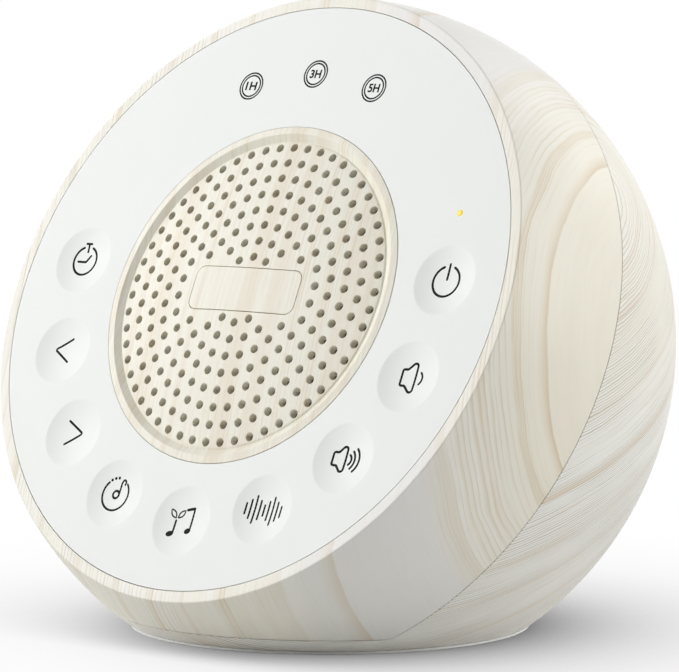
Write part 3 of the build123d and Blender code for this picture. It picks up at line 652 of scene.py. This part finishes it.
def ballShell():
    inner = ball["radius"] - ball["wall"]
    rimAngle = degrees(asin(faceTop / ball["radius"]))
    seat = faceTop - shell["panelDepth"]
    under = seat - shell["ledge"]
    ledgeRadius = shell["pocket"] - shell["ledgeIn"]
    back = arcOf(ball["radius"], -90, 0, ball["backBits"])
    front = arcOf(ball["radius"], 0, rimAngle, ball["frontBits"])[1:]
    rim = softened([
        front[-2], (*front[-1], shell["rimRounding"]),
        (shell["pocket"], faceTop, shell["pocketRounding"]), (shell["pocket"], seat),
    ])
    inside = arcOf(inner, degrees(asin(under / inner)), -90, ball["insideBits"])
    outline = [*back, *front[:-2], *rim, (ledgeRadius, seat), (ledgeRadius, under), *inside]
    outline[0] = (0, -ball["radius"])
    outline[-1] = (0, -inner)
    return placed(turnedPiece("ballShell", outline), facePlace)


def seamWedge(gap=0.0):
    # all that lies in front of the seam and above the skirt, grown by the gap
    deselect()
    bpy.ops.mesh.primitive_cube_add(size=cutter["wide"] * mm, location=ballCentre)
    wedge = bpy.context.object
    bpy.ops.object.transform_apply(location=True, rotation=True, scale=True)
    bpy.ops.object.mode_set(mode="EDIT")
    skirtLine = (0, 0, (ball["skirtTop"] - gap / 2) * mm)
    for point, normal in ((ballCentre - outward * gap * mm, outward), (skirtLine, (0, 0, 1))):
        bpy.ops.mesh.select_all(action="SELECT")
        bpy.ops.mesh.bisect(plane_co=point, plane_no=normal, use_fill=True, clear_inner=True)
    bpy.ops.object.mode_set(mode="OBJECT")
    return wedge


def onSeam(a, b):
    # outer edges that lie along the seam or along the skirt line
    skin = (ball["radius"] - shell["skin"]) * mm
    if min((a - ballCentre).length, (b - ballCentre).length) < skin:
        return False
    near = (shell["seamGap"] + shell["near"]) * mm
    alongSeam = all(abs((p - ballCentre).dot(outward)) < near for p in (a, b))
    alongSkirt = all(abs(p.z - ball["skirtTop"] * mm) < near for p in (a, b))
    return alongSeam or alongSkirt


frontHousing = combined(ballShell(), seamWedge(), "INTERSECT")
frontHousing.name = "frontHousing"
rearHousing = combined(ballShell(), seamWedge(shell["seamGap"]))
rearHousing.name = "rearHousing"
for half in (frontHousing, rearHousing):
    bevelEdges(half, shell["seamBevel"], 1, onSeam)

foot = {
    "opening": 33.4, "cutDown": 5.0, "plate": 33.2, "flange": 34.9, "flangeTop": 0.52, "rounding": 0.15,
    "lift": 0.05, "pad": 26.0, "padGap": 0.1, "padTop": 1.24, "padBevel": 0.12, "padRecess": 1.2,
    "grooves": (22, 18, 14), "grooveTop": 0.3, "grooveFloor": 0.1, "grooveDeep": 0.25,
    "screwCircle": 30.3, "screwAngles": (45, 135, 225, 315), "screwHole": 2.3, "screwHoleDeep": 1.2,
    "screwHoleLow": -1.0,
}
belowSkirt = roundedBlock("belowSkirt", (cutter["wide"], cutter["wide"], cutter["deep"]), 0)
placed(belowSkirt, Matrix.Translation((0, 0, (ball["skirtBottom"] - cutter["deep"] / 2) * mm)))
combined(rearHousing, belowSkirt)
combined(rearHousing, plug("opening", foot["opening"], -foot["cutDown"], ball["skirtTop"], ball["steps"]))

tray = {
    "width": 24.0, "height": 10.4, "wall": 1.5, "corner": 1.0, "floor": 43.5, "rise": 17.2, "reach": 66.0,
    "gap": 0.1, "trim": 0.02,
}


def trayBlock(name, margin, start):
    # rounded block lying along y, from a depth out through the ball
    size = (tray["width"] + 2 * margin, tray["height"] + 2 * margin, tray["reach"] - start)
    block = roundedBlock(name, size, tray["corner"] + margin)
    turn = Matrix.Rotation(radians(-90), 4, "X")
    middle = Matrix.Translation((0, (start + tray["reach"]) / 2 * mm, tray["rise"] * mm))
    return placed(block, middle @ turn)


trayMargin = tray["wall"] + tray["gap"]
combined(rearHousing, trayBlock("trayOpening", trayMargin, tray["floor"] - trayMargin))
finished(frontHousing, ashFilmFront, stands=["front_shell"])
finished(rearHousing, ashFilmRear, stands=["rear_shell"])
print("housing made")

# control panel and the nine dished keys
panel = {
    "outer": 53.26, "inner": 30.8, "innerRounding": 0.15, "outerRounding": 0.06, "skin": 7.6, "steps": 256,
    "cutLow": 6.0, "cutHigh": 4.0,
}
keys = {
    "names": [
        "power", "volume_down", "volume_up", "white_noise", "nature", "lullaby", "next", "previous",
        "timer",
    ],
    "circle": 41.2, "first": 6.0, "step": -24.0, "dish": 6.15, "depth": 0.6, "edge": 2.2, "bits": 96,
    "bossRadius": 3.0, "plungerTop": 20.1, "hemTop": 0.15, "hemFoot": 0.4, "hemIn": 0.2,
}


def keySpot(i):
    angle = radians(keys["first"] + keys["step"] * i)
    return Vector((keys["circle"] * cos(angle), keys["circle"] * sin(angle), 0)) * mm


def dishHeight(r):
    # height of the dished skin against the flat panel, in mm
    slope = 2 * keys["depth"] / keys["dish"]
    reach = keys["edge"] * tan(slope / 2)
    if r < keys["dish"] - reach:
        return -keys["depth"] * (1 - (r / keys["dish"]) ** 2)
    if r < keys["dish"] + reach:
        return -(keys["dish"] + reach - r) ** 2 / (4 * reach) * slope
    return 0.0


panelBack = faceTop - shell["panelDepth"]
controlPanel = ringPiece("controlPanel", [
    (panel["inner"], panelBack), (panel["inner"], faceTop, panel["innerRounding"]),
    (panel["outer"], faceTop, panel["outerRounding"]), (panel["outer"], panelBack),
], panel["steps"])
skinHole = plug(
    "skinHole", panel["skin"], faceTop - panel["cutLow"], faceTop + panel["cutHigh"], keys["bits"]
)
keyPlaces = [Matrix.Translation(keySpot(i)) for i in range(len(keys["names"]))]
combined(controlPanel, repeated(skinHole, keyPlaces, "skinHoles"))
light = {
    "circle": 43.3, "angle": 22.0, "radius": 0.55, "dome": 0.12, "hole": 0.59, "cut": (18, 26), "steps": 32,
}
lightTurn = Matrix.Rotation(radians(light["angle"]), 4, "Z")
lightSpot = lightTurn @ Matrix.Translation((light["circle"] * mm, 0, 0))
lightHole = plug("lightHole", light["hole"], *light["cut"], light["steps"])
combined(controlPanel, placed(lightHole, lightSpot))
finished(placed(controlPanel, facePlace), satinWhite, stands=["face_panel"])

lens = turnedPiece("powerLight", [
    (0, panelBack), (light["radius"], panelBack),
    *[(light["radius"] * x, faceTop + light["dome"] * y) for x, y in arcOf(1, 0, 75, 5)],
    (0, faceTop + light["dome"]),
], light["steps"])
finished(placed(lens, facePlace @ lightSpot), amberLens, stands=["power_light_pipe"])

# rings lie closer where the dish turns up into the panel
dishRadii = [0.4 * i for i in range(14)] + [5.55 + 0.1 * i for i in range(13)]
skinOutline = [(r, faceTop + dishHeight(r)) for r in dishRadii] + [
    (panel["skin"], faceTop), (panel["skin"], faceTop - keys["hemTop"]),
    (panel["skin"] - keys["hemIn"], faceTop - keys["hemFoot"]), (panel["skin"] - keys["hemIn"], panelBack),
    (keys["bossRadius"], panelBack), (keys["bossRadius"], keys["plungerTop"]), (0, keys["plungerTop"]),
]
keySkin = turnedPiece("keySkin", skinOutline, keys["bits"])


def bendWithKey(piece):
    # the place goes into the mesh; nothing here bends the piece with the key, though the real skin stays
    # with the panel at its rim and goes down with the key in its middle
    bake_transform(piece)


for i, name in enumerate(keys["names"]):
    skin = copied(keySkin, facePlace @ keyPlaces[i])
    skin.name = "keySkin_" + name
    finished(skin, satinWhite, body=None, stands=["key_" + name])
    bendWithKey(skin)
bpy.data.objects.remove(keySkin, do_unlink=True)
print("panel and key skins made")

# printed marks
ink = {"stroke": 0.44, "thickness": 0.05, "step": 0.3}


def inkStroke(points, width=ink["stroke"], closed=False):
    # a round thread along the points, with rounded ends, that is pressed flat later
    curve = bpy.data.curves.new("stroke", "CURVE")
    curve.dimensions = "3D"
    curve.bevel_depth = width / 2 * mm
    curve.bevel_resolution = 2
    curve.use_fill_caps = True
    points = [Vector(p) for p in points]
    dense = [points[0]]
    for a, b in zip(points, points[1:] + ([points[0]] if closed else [])):
        count = max(1, round((b - a).length / ink["step"]))
        dense += [a.lerp(b, k / count) for k in range(1, count + 1)]
    radii = [1.0] * len(dense)
    if closed:
        dense, radii = dense[:-1], radii[:-1]
    else:
        for end, inside in ((0, 1), (-1, -2)):
            direction = (dense[end] - dense[inside]).normalized() * width / 2
            caps = [(dense[end] + direction * t, sqrt(max(0.002, 1 - t * t))) for t in (0.5, 0.85, 1.0)]
            for point, radius in caps:
                dense.insert(0 if end == 0 else len(dense), point)
                radii.insert(0 if end == 0 else len(radii), radius)
    spline = curve.splines.new("POLY")
    spline.points.add(len(dense) - 1)
    for point, place, radius in zip(spline.points, dense, radii):
        point.co = (place.x * mm, place.y * mm, 0, 1)
        point.radius = radius
    spline.use_cyclic_u = closed
    stroke = bpy.data.objects.new("stroke", curve)
    bpy.context.scene.collection.objects.link(stroke)
    pick(stroke)
    bpy.ops.object.convert(target="MESH")
    return bpy.context.object


def inkDot(x, y, across, tall=None, tilt=0):
    deselect()
    bpy.ops.mesh.primitive_uv_sphere_add(segments=28, ring_count=12, radius=1)
    dot = bpy.context.object
    size = Matrix.Diagonal((across * mm, (tall or across) * mm, ink["stroke"] / 2 * mm, 1))
    turn = Matrix.Rotation(radians(tilt), 4, "Z")
    return placed(dot, Matrix.Translation((x * mm, y * mm, 0)) @ turn @ size)


def pressed(strokes, name, height=lambda r: 0.0):
    # presses the joined strokes flat and lays them on the surface
    mark = joined(strokes, name)
    placed(mark, Matrix.Diagonal((1, 1, ink["thickness"] / ink["stroke"], 1)))
    for point in mark.data.vertices:
        point.co.z += height(Vector(point.co[:2]).length / mm) * mm
    return mark


def leaf(base, tip, bulge):
    base, tip = Vector(base), Vector(tip)
    along = tip - base
    side = Vector((-along.y, along.x)) * bulge
    steps = [k / 8 for k in range(9)]
    out = [base + along * t + side * sin(pi * t) for t in steps]
    home = [base + along * t - side * sin(pi * t) for t in reversed(steps[1:-1])]
    return [tuple(p) for p in out + home]


def speaker(back, halfBack, neck, halfMouth, right):
    # outline of a loudspeaker, rounded at its corners
    return softened([
        (back, halfBack, 0.35), (neck, halfBack, 0.4), (right - 0.75, halfMouth, 0.5),
        (right, halfMouth, 0.45), (right, -halfMouth, 0.45), (right - 0.75, -halfMouth, 0.5),
        (neck, -halfBack, 0.4), (back, -halfBack, 0.35),
    ], closed=True)


def bracket(endX, endY, peak):
    # sound-wave arc through two ends and a peak to the right
    depth = peak - endX
    radius = (depth**2 + endY**2) / (2 * depth)
    reach = degrees(asin(endY / radius))
    return arcOf(radius, -reach, reach, 12, (peak - radius, 0))


def iconStrokes():
    bars = [0.93, 1.61, 2.36, 1.61, 0.92, 1.6, 2.38, 1.6, 0.9]
    barStep = 0.95
    return {
        "power": [
            inkStroke(arcOf(2.68, 90 + 23.5, 450 - 23.5, 60)),
            inkStroke([(0, 3.0), (0, 0.35)]),
        ],
        "volume_down": [
            inkStroke(speaker(-1.74, 1.42, -0.75, 2.5, 1.17), closed=True),
            inkStroke(bracket(2.15, 1.0, 2.62), 0.4),
        ],
        "volume_up": [
            inkStroke(speaker(-2.51, 1.14, -1.5, 2.15, 0.17), closed=True),
            inkStroke(bracket(0.94, 0.83, 1.37)),
            inkStroke(bracket(1.51, 1.47, 2.11)),
            inkStroke(bracket(2.25, 1.95, 3.1)),
        ],
        "white_noise": [
            inkStroke([((k - 4) * barStep - 0.08, tall), ((k - 4) * barStep - 0.08, -tall)], 0.38)
            for k, tall in enumerate(bars)
        ],
        "nature": [
            inkStroke(leaf((-1.77, 0.64), (-3.11, 2.07), 0.22), 0.27, closed=True),
            inkStroke(leaf((-1.4, 0.70), (-0.06, 2.07), 0.22), 0.27, closed=True),
            inkStroke([(-1.65, 0.2), (-1.65, -2.1)], 0.42),
            inkDot(-2.19, -2.21, 0.77, 0.51, 15),
            inkStroke([(0.35, 2.22), (1.84, 2.54)], 0.5),
            inkStroke([(1.91, 2.55), (1.91, -1.35)], 0.42),
            inkDot(1.48, -1.44, 0.71, 0.51, 15),
        ],
        "lullaby": [
            inkStroke([(x - 0.21, y) for x, y in arcOf(2.89, 136, 403, 48)], 0.4),
            *[inkDot(x - 0.21, y, 0.27) for x, y in arcOf(2.94, 123, 92, 2)],
            inkStroke([(x - 0.17, y) for x, y in arcOf(0.66, 0, 342, 24)], closed=True),
            inkStroke(softened([
                (0.5, 0.0), (0.58, 2.1, 0.5), (0.95, 2.75, 0.3), (1.5, 2.45, 0.35), (1.38, 1.85),
            ]), 0.4),
        ],
        "next": [inkStroke(softened([(-1.97, 2.15), (1.74, 0.13, 0.25), (-1.74, -2.12)]), 0.43)],
        "previous": [inkStroke(softened([(1.37, 2.3), (-2.17, 0.13, 0.25), (1.45, -1.98)]), 0.42)],
        "timer": [
            inkStroke(arcOf(2.65, 113, 426, 56)),
            inkStroke([(-0.68, 3.2), (0.55, 3.2)]),
            inkStroke([(-0.03, 3.15), (0.03, 1.7)]),
            inkStroke(softened([(-1.65, -0.2), (0.2, -0.2, 0.1), (1.02, 1.0)])),
        ],
    }


for name, strokes in iconStrokes().items():
    i = keys["names"].index(name)
    icon = pressed(strokes, "icon_" + name, dishHeight)
    placed(icon, facePlace @ Matrix.Translation(keySpot(i) + Vector((0, 0, faceTop * mm))))
    finished(icon, padInk, angle=60, body=None)
    bendWithKey(icon)

timerMarks = {
    "circle": 40.75, "angles": [110, 90, 70], "words": ["1H", "3H", "5H"], "rings": (2.47, 1.97),
    "stroke": 0.3, "letterHeight": 1.6, "letterWidth": 2.45, "letterBold": 0.025, "letterDeep": 0.05,
}


def letters(word):
    deselect()
    bpy.ops.object.text_add()
    text = bpy.context.object
    text.data.body = word
    text.data.extrude = timerMarks["letterDeep"]
    text.data.offset = timerMarks["letterBold"]
    bpy.ops.object.convert(target="MESH")
    text = bpy.context.object
    corners = [Vector(c) for c in text.bound_box]
    low = Vector(map(min, *corners))
    high = Vector(map(max, *corners))
    size = high - low
    shrink = Matrix.Diagonal((
        timerMarks["letterWidth"] * mm / size.x, timerMarks["letterHeight"] * mm / size.y,
        ink["stroke"] * mm / size.z, 1,
    ))
    return placed(text, shrink @ Matrix.Translation(-(low + high) / 2))


for angle, word in zip(timerMarks["angles"], timerMarks["words"]):
    rings = [
        inkStroke(arcOf(radius, 0, 355, 71), timerMarks["stroke"], closed=True)
        for radius in timerMarks["rings"]
    ]
    mark = pressed([*rings, letters(word)], "timerMark" + word)
    spot = Matrix.Rotation(radians(angle), 4, "Z") @ Vector((timerMarks["circle"] * mm, 0, 0))
    placed(mark, facePlace @ Matrix.Translation(spot + Vector((0, 0, faceTop * mm))))
    finished(mark, padInk, angle=60)
print("printed marks made")

# domed grille, its bare plate and the gauze behind it
grille = {
    "edge": 28.2, "rise": 1.8, "drop": 0.35, "gutter": 0.2, "thick": 1.4, "crestIn": 29.45, "outer": 30.75,
    "crest": 0.22, "outerRise": 0.06, "lipIn": 0.3, "lipRounding": 0.2,
    "flangeOuter": 33.7, "flangeTop": 21.2, "flangeBack": 19.7, "inner": 31.5,
    "hole": 0.75, "flare": 0.05, "holeSteps": 20, "pitch": 3.0, "rings": 9, "steps": 256,
    "drillDeep": 4.0, "drillHigh": 1.0,
}
badge = {
    "width": 23.7, "height": 7.9, "corner": 1.7, "land": 0.9, "groove": 0.09, "grooveDepth": 0.5,
    "proud": 0.03, "reach": 16, "floorGap": 0.02, "cutHigh": 2.0, "blockTall": 10.0, "cutSteps": 96,
    "steps": 128,
}
cloth = {"radius": 26.8, "top": -1.47, "under": -1.75, "steps": 128}


def domeHeight(r):
    return faceTop + grille["rise"] - (grille["rise"] + grille["drop"]) * (r / grille["edge"]) ** 2


def domeLine(first, last, bits, offset=0.0):
    radii = [first + (last - first) * i / bits for i in range(bits + 1)]
    return [(r, domeHeight(r) + offset) for r in radii]


def grilleOutline():
    under = -grille["thick"]
    top = domeLine(0, grille["edge"] - grille["lipIn"], 40)
    gutter = (grille["edge"], domeHeight(grille["edge"]) - grille["gutter"], 0.15)
    lip = softened([
        top[-2], (*top[-1], grille["lipRounding"]), gutter,
        (grille["crestIn"], faceTop + grille["crest"], grille["lipRounding"]),
        (grille["outer"], faceTop + grille["outerRise"], 0.1), (grille["outer"], grille["flangeTop"]),
    ])
    back = [
        (grille["flangeOuter"], grille["flangeTop"]), (grille["flangeOuter"], grille["flangeBack"]),
        (grille["inner"], grille["flangeBack"]), (grille["inner"], domeHeight(grille["edge"]) + under),
    ]
    return [*top[:-2], *lip, *back, *domeLine(grille["edge"], 0, 24, under)]


def holeSpots():
    # rings of six, twelve, eighteen and so on, leaving out those under the plate
    for ring in range(1, grille["rings"] + 1):
        for step in range(6 * ring):
            angle = radians(90 + step * 60 / ring)
            x, y = ring * grille["pitch"] * cos(angle), ring * grille["pitch"] * sin(angle)
            beside = abs(x) > badge["width"] / 2 + badge["land"]
            if beside or abs(y) > badge["height"] / 2 + badge["land"]:
                yield x, y


def badgeBlock(name, margin):
    size = (badge["width"] + 2 * margin, badge["height"] + 2 * margin, badge["blockTall"])
    block = roundedBlock(name, size, badge["corner"] + margin)
    return placed(block, Matrix.Translation((0, 0, faceTop * mm)))


grilleDome = turnedPiece("grilleDome", grilleOutline(), grille["steps"])
mouth = grille["hole"] + 2 * grille["flare"]
drill = turnedPiece("drill", [
    (0, -grille["drillDeep"]), (grille["hole"], -grille["drillDeep"]), (grille["hole"], -grille["flare"]),
    (mouth, grille["flare"]), (mouth, grille["drillHigh"]), (0, grille["drillHigh"]),
], grille["holeSteps"])
holePlaces = [
    Matrix.Translation(Vector((x, y, domeHeight(sqrt(x * x + y * y)))) * mm) for x, y in holeSpots()
]
drills = repeated(drill, holePlaces, "drills")
grilleDome.data.materials.append(ashFilmGrille)
# the drilled walls carry the painted shade of the holes
drills.data.materials.append(shadedHoleWall)
combined(grilleDome, drills)
badgeCut = turnedPiece("badgeCut", [
    *domeLine(0, badge["reach"], 16, -badge["grooveDepth"]),
    *domeLine(badge["reach"], 0, 15, badge["cutHigh"]),
], badge["cutSteps"])
combined(badgeCut, badgeBlock("badgeOutside", badge["groove"]), "INTERSECT")
combined(grilleDome, badgeCut)
finished(placed(grilleDome, facePlace), ashFilmGrille, stands=["grille"])

badgePlate = turnedPiece("badgePlate", [
    *domeLine(0, badge["reach"], 32, badge["proud"]),
    *domeLine(badge["reach"], 0, 16, badge["floorGap"] - badge["grooveDepth"]),
], badge["steps"])
combined(badgePlate, badgeBlock("badgeInside", -badge["groove"]), "INTERSECT")
finished(placed(badgePlate, facePlace), ashFilmGrille, stands=["badge_plate"])

gauze = turnedPiece("gauze", [
    *domeLine(0, cloth["radius"], 24, cloth["top"]), *domeLine(cloth["radius"], 0, 24, cloth["under"]),
], cloth["steps"])
finished(placed(gauze, facePlace), darkGauze, stands=["grille_cloth"])
print("grille made")

# base plate, rubber pad and base screws
recess = foot["lift"] + foot["padRecess"]
basePlate = turnedPiece("basePlate", softened([
    (0, recess), (foot["pad"] + foot["padGap"], recess),
    (foot["pad"] + foot["padGap"], foot["lift"], foot["rounding"]), (foot["flange"], foot["lift"], 0.12),
    (foot["flange"], foot["flangeTop"], foot["rounding"]), (foot["plate"], foot["flangeTop"]),
    (foot["plate"], ball["skirtTop"]), (0, ball["skirtTop"]),
]))
screwSpots = [
    Matrix.Rotation(radians(a), 4, "Z") @ Matrix.Translation((foot["screwCircle"] * mm, 0, 0))
    for a in foot["screwAngles"]
]
screwHoleCut = plug(
    "screwHoleCut", foot["screwHole"], foot["screwHoleLow"], foot["lift"] + foot["screwHoleDeep"]
)
combined(basePlate, repeated(screwHoleCut, screwSpots, "screwHoles"))
finished(basePlate, whiteAbs, stands=["base_plate"])

padOutline = [
    (0, foot["padTop"]), (foot["pad"], foot["padTop"]), (foot["pad"], foot["padBevel"]),
    (foot["pad"] - foot["padBevel"], 0),
]
for groove in foot["grooves"]:
    padOutline += [
        (groove + foot["grooveTop"], 0), (groove + foot["grooveFloor"], foot["grooveDeep"]),
        (groove - foot["grooveFloor"], foot["grooveDeep"]), (groove - foot["grooveTop"], 0),
    ]
rubberPad = turnedPiece("rubberPad", [*padOutline, (0, 0)])
finished(rubberPad, softRubber, stands=["foot_pad"])

screw = {
    "radius": 2.1, "seat": 1.45, "head": 1.0, "crown": 0.5, "slot": (2.6, 0.5, 1.2), "shank": 1.3,
    "tip": 8.0, "steps": 32,
}
low = screw["seat"] - screw["head"]
screwHead = turnedPiece("screwHead", softened([
    (0, low), (screw["radius"], low, screw["crown"]), (screw["radius"], screw["seat"]),
    (screw["shank"], screw["seat"]), (screw["shank"], screw["tip"]), (0, screw["tip"]),
]), screw["steps"])
for angle in (0, 90):
    slotPlace = Matrix.Translation((0, 0, low * mm)) @ Matrix.Rotation(radians(angle), 4, "Z")
    combined(screwHead, placed(roundedBlock("slotCut", screw["slot"], 0), slotPlace))
screws = repeated(screwHead, screwSpots, "baseScrews")
finished(screws, zincSteel, stands=["base_screws"])
print("base made")

# tray at the back with its two sockets
sockets = {
    "powerX": -5.8, "phoneX": 6.2, "mouth": 3.3, "mouthReach": 3.0, "steps": 48, "pinSteps": 32,
    "bore": 1.82, "bushRim": 3.1, "bushTop": -0.1, "bushEnd": -1.4,
    "collarIn": 2.85, "collarOut": 3.2, "collarTop": -0.15, "collarEnd": -1.45,
    "pin": 1.0, "pinTip": -3.0, "pinEnd": -12.5, "pinRounding": 0.6,
}


def alongY(piece, x, y):
    # a piece turned about z is laid with its z along +y at the sockets' height
    place = Matrix.Translation((x * mm, y * mm, tray["rise"] * mm)) @ Matrix.Rotation(radians(-90), 4, "X")
    return placed(piece, place)


socketTray = trayBlock("socketTray", tray["wall"], tray["floor"] - tray["wall"])
combined(socketTray, trayBlock("trayHollow", 0, tray["floor"]))
trimmer = turnedPiece("trimmer", arcOf(ball["radius"] - tray["trim"], -90, 90, 90), 128)
combined(socketTray, placed(trimmer, Matrix.Translation(ballCentre)), "INTERSECT")
for x in (sockets["powerX"], sockets["phoneX"]):
    mouthCut = plug("mouthCut", sockets["mouth"], -sockets["mouthReach"], sockets["mouthReach"])
    combined(socketTray, alongY(mouthCut, x, tray["floor"]))
finished(socketTray, blackNylon, stands=["socket_bay"])

phoneBush = ringPiece("phoneBush", [
    (sockets["bore"], sockets["bushEnd"]), (sockets["bore"], sockets["bushTop"], 0.2),
    (sockets["bushRim"], sockets["bushTop"], 0.2), (sockets["bushRim"], sockets["bushEnd"]),
], sockets["steps"], bits=3)
finished(alongY(phoneBush, sockets["phoneX"], tray["floor"]), nickelPlate)
powerCollar = ringPiece("powerCollar", [
    (sockets["collarIn"], sockets["collarEnd"]), (sockets["collarIn"], sockets["collarTop"], 0.25),
    (sockets["collarOut"], sockets["collarTop"], 0.15), (sockets["collarOut"], sockets["collarEnd"]),
], sockets["steps"], bits=3)
finished(alongY(powerCollar, sockets["powerX"], tray["floor"]), blackNylon)
powerPin = turnedPiece("powerPin", softened([
    (0, sockets["pinEnd"]), (sockets["pin"], sockets["pinEnd"]),
    (sockets["pin"], sockets["pinTip"], sockets["pinRounding"]), (0, sockets["pinTip"]),
]), sockets["pinSteps"])
finished(
    alongY(powerPin, sockets["powerX"], tray["floor"]), nickelPlate, stands=["dc_jack_pin"]
)
print("sockets made")

# floor, light and camera
studio = {
    "floorSize": 8.0, "world": 0.09, "shadeReach": 0.11, "whiteFrom": 0.07, "whiteTo": 0.16,
    "towardRight": (0.76, 0.65, 0.0), "shadeOpens": (-0.012, -0.05), "openShare": 0.45, "paper": "E8E8E6",
    "fibre": 1.111,
}


def paperFloor():
    # white seamless paper: the camera sees the soft contact shade close by, and clean white further off
    material, tree, shader, place = newMaterial(
        "whiteSeamlessPaper", {"Base Color": colour(studio["paper"]), "Roughness": 0.95}
    )
    fibre = addNode(
        tree, "ShaderNodeTexNoise", {"Scale": 1 / (studio["fibre"] * mm)}, {"Vector": place}
    ).outputs["Fac"]
    bump = addNode(tree, "ShaderNodeBump", {"Strength": 0.02, "Distance": 0.1 * mm}, {"Height": fibre})
    tree.links.new(bump.outputs["Normal"], shader.inputs["Normal"])
    near = addNode(
        tree, "ShaderNodeAmbientOcclusion", {"samples": 16, "Distance": studio["shadeReach"]}
    ).outputs["AO"]
    shade = addNode(tree, "ShaderNodeValToRGB", links={"Fac": near})
    stops(shade, [(0.0, 0.08), (0.3, 0.42), (0.55, 0.72), (0.8, 0.93), (1.0, 1.0)])
    # the window opens the shade on the left
    side = addNode(
        tree, "ShaderNodeVectorMath", {"operation": "DOT_PRODUCT", 1: studio["towardRight"]}, {0: place}
    ).outputs["Value"]
    opened = addNode(
        tree, "ShaderNodeMapRange",
        {"interpolation_type": "SMOOTHSTEP", "From Min": studio["shadeOpens"][0],
         "From Max": studio["shadeOpens"][1], "To Max": studio["openShare"]},
        {"Value": side},
    ).outputs["Result"]
    lifted = addNode(
        tree, "ShaderNodeMix", {"data_type": "RGBA", 7: (1, 1, 1, 1)},
        {0: opened, 6: shade.outputs["Color"]},
    ).outputs[2]
    contact = addNode(tree, "ShaderNodeEmission", links={"Color": lifted})
    away = addNode(tree, "ShaderNodeVectorMath", {"operation": "LENGTH"}, {0: place}).outputs["Value"]
    far = addNode(
        tree, "ShaderNodeMapRange",
        {"interpolation_type": "SMOOTHSTEP", "From Min": studio["whiteFrom"],
         "From Max": studio["whiteTo"]},
        {"Value": away},
    ).outputs["Result"]
    clean = addNode(tree, "ShaderNodeEmission", {"Color": (1, 1, 1, 1)})
    seen = addNode(
        tree, "ShaderNodeMixShader",
        links={0: far, 1: contact.outputs["Emission"], 2: clean.outputs["Emission"]},
    )
    ray = addNode(tree, "ShaderNodeLightPath").outputs["Is Camera Ray"]
    both = addNode(
        tree, "ShaderNodeMixShader", links={0: ray, 1: shader.outputs["BSDF"], 2: seen.outputs["Shader"]}
    )
    tree.links.new(both.outputs["Shader"], tree.nodes["Material Output"].inputs["Surface"])
    return material


deselect()
bpy.ops.mesh.primitive_plane_add(size=studio["floorSize"])
floor = bpy.context.object
floor.name = "floor"
floor.data.materials.append(paperFloor())
floor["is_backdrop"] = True

world = bpy.data.worlds.new("studio")
bpy.context.scene.world = world
world.use_nodes = True
sky = world.node_tree
background = sky.nodes["Background"]
rays = addNode(sky, "ShaderNodeLightPath").outputs
seen = rays["Is Camera Ray"]
for ray in ("Is Transmission Ray", "Is Glossy Ray"):
    seen = addNode(
        sky, "ShaderNodeMath", {"operation": "MAXIMUM"}, {0: seen, 1: rays[ray]}
    ).outputs["Value"]
strength = addNode(
    sky, "ShaderNodeMapRange", {"To Min": studio["world"], "To Max": 1.0}, {"Value": seen}
).outputs["Result"]
sky.links.new(strength, background.inputs["Strength"])
background.inputs["Color"].default_value = (1, 1, 1, 1)

lamps = {
    "aim": (0, 0, 0.055), "away": 1.6, "size": 1.3,
    # name, azimuth, elevation, watts
    "list": [
        ("frontWindow", -135, 28, 17.6), ("leftWindow", -180, 30, 8.6), ("rightSoftbox", 25, 25, 14.1),
        ("rearSoftbox", 80, 40, 7.3),
    ],
}
aim = Vector(lamps["aim"])
for name, azimuth, elevation, power in lamps["list"]:
    deselect()
    turn, low = radians(azimuth), radians(elevation)
    place = aim + lamps["away"] * Vector((cos(low) * cos(turn), cos(low) * sin(turn), sin(low)))
    bpy.ops.object.light_add(type="AREA", location=place)
    made = bpy.context.object
    made.name = name
    made.data.shape = "DISK"
    made.data.size = lamps["size"]
    made.data.energy = power
    made.rotation_mode = "QUATERNION"
    made.rotation_quaternion = (aim - made.location).to_track_quat("-Z", "Y")

view = {
    "place": (0.4504, -0.5271, 0.1075), "azimuth": 40.38, "elevation": 4.71, "lens": 211.9, "sensor": 36.0,
    "clipStart": 0.01,
}
deselect()
bpy.ops.object.camera_add(
    location=view["place"], rotation=(radians(90 - view["elevation"]), 0, radians(view["azimuth"]))
)
camera = bpy.context.object
camera.data.lens = view["lens"]
camera.data.sensor_width = view["sensor"]
camera.data.clip_start = view["clipStart"]
bpy.context.scene.camera = camera
bpy.context.scene.view_settings.view_transform = "Standard"
print("studio made")

low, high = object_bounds()
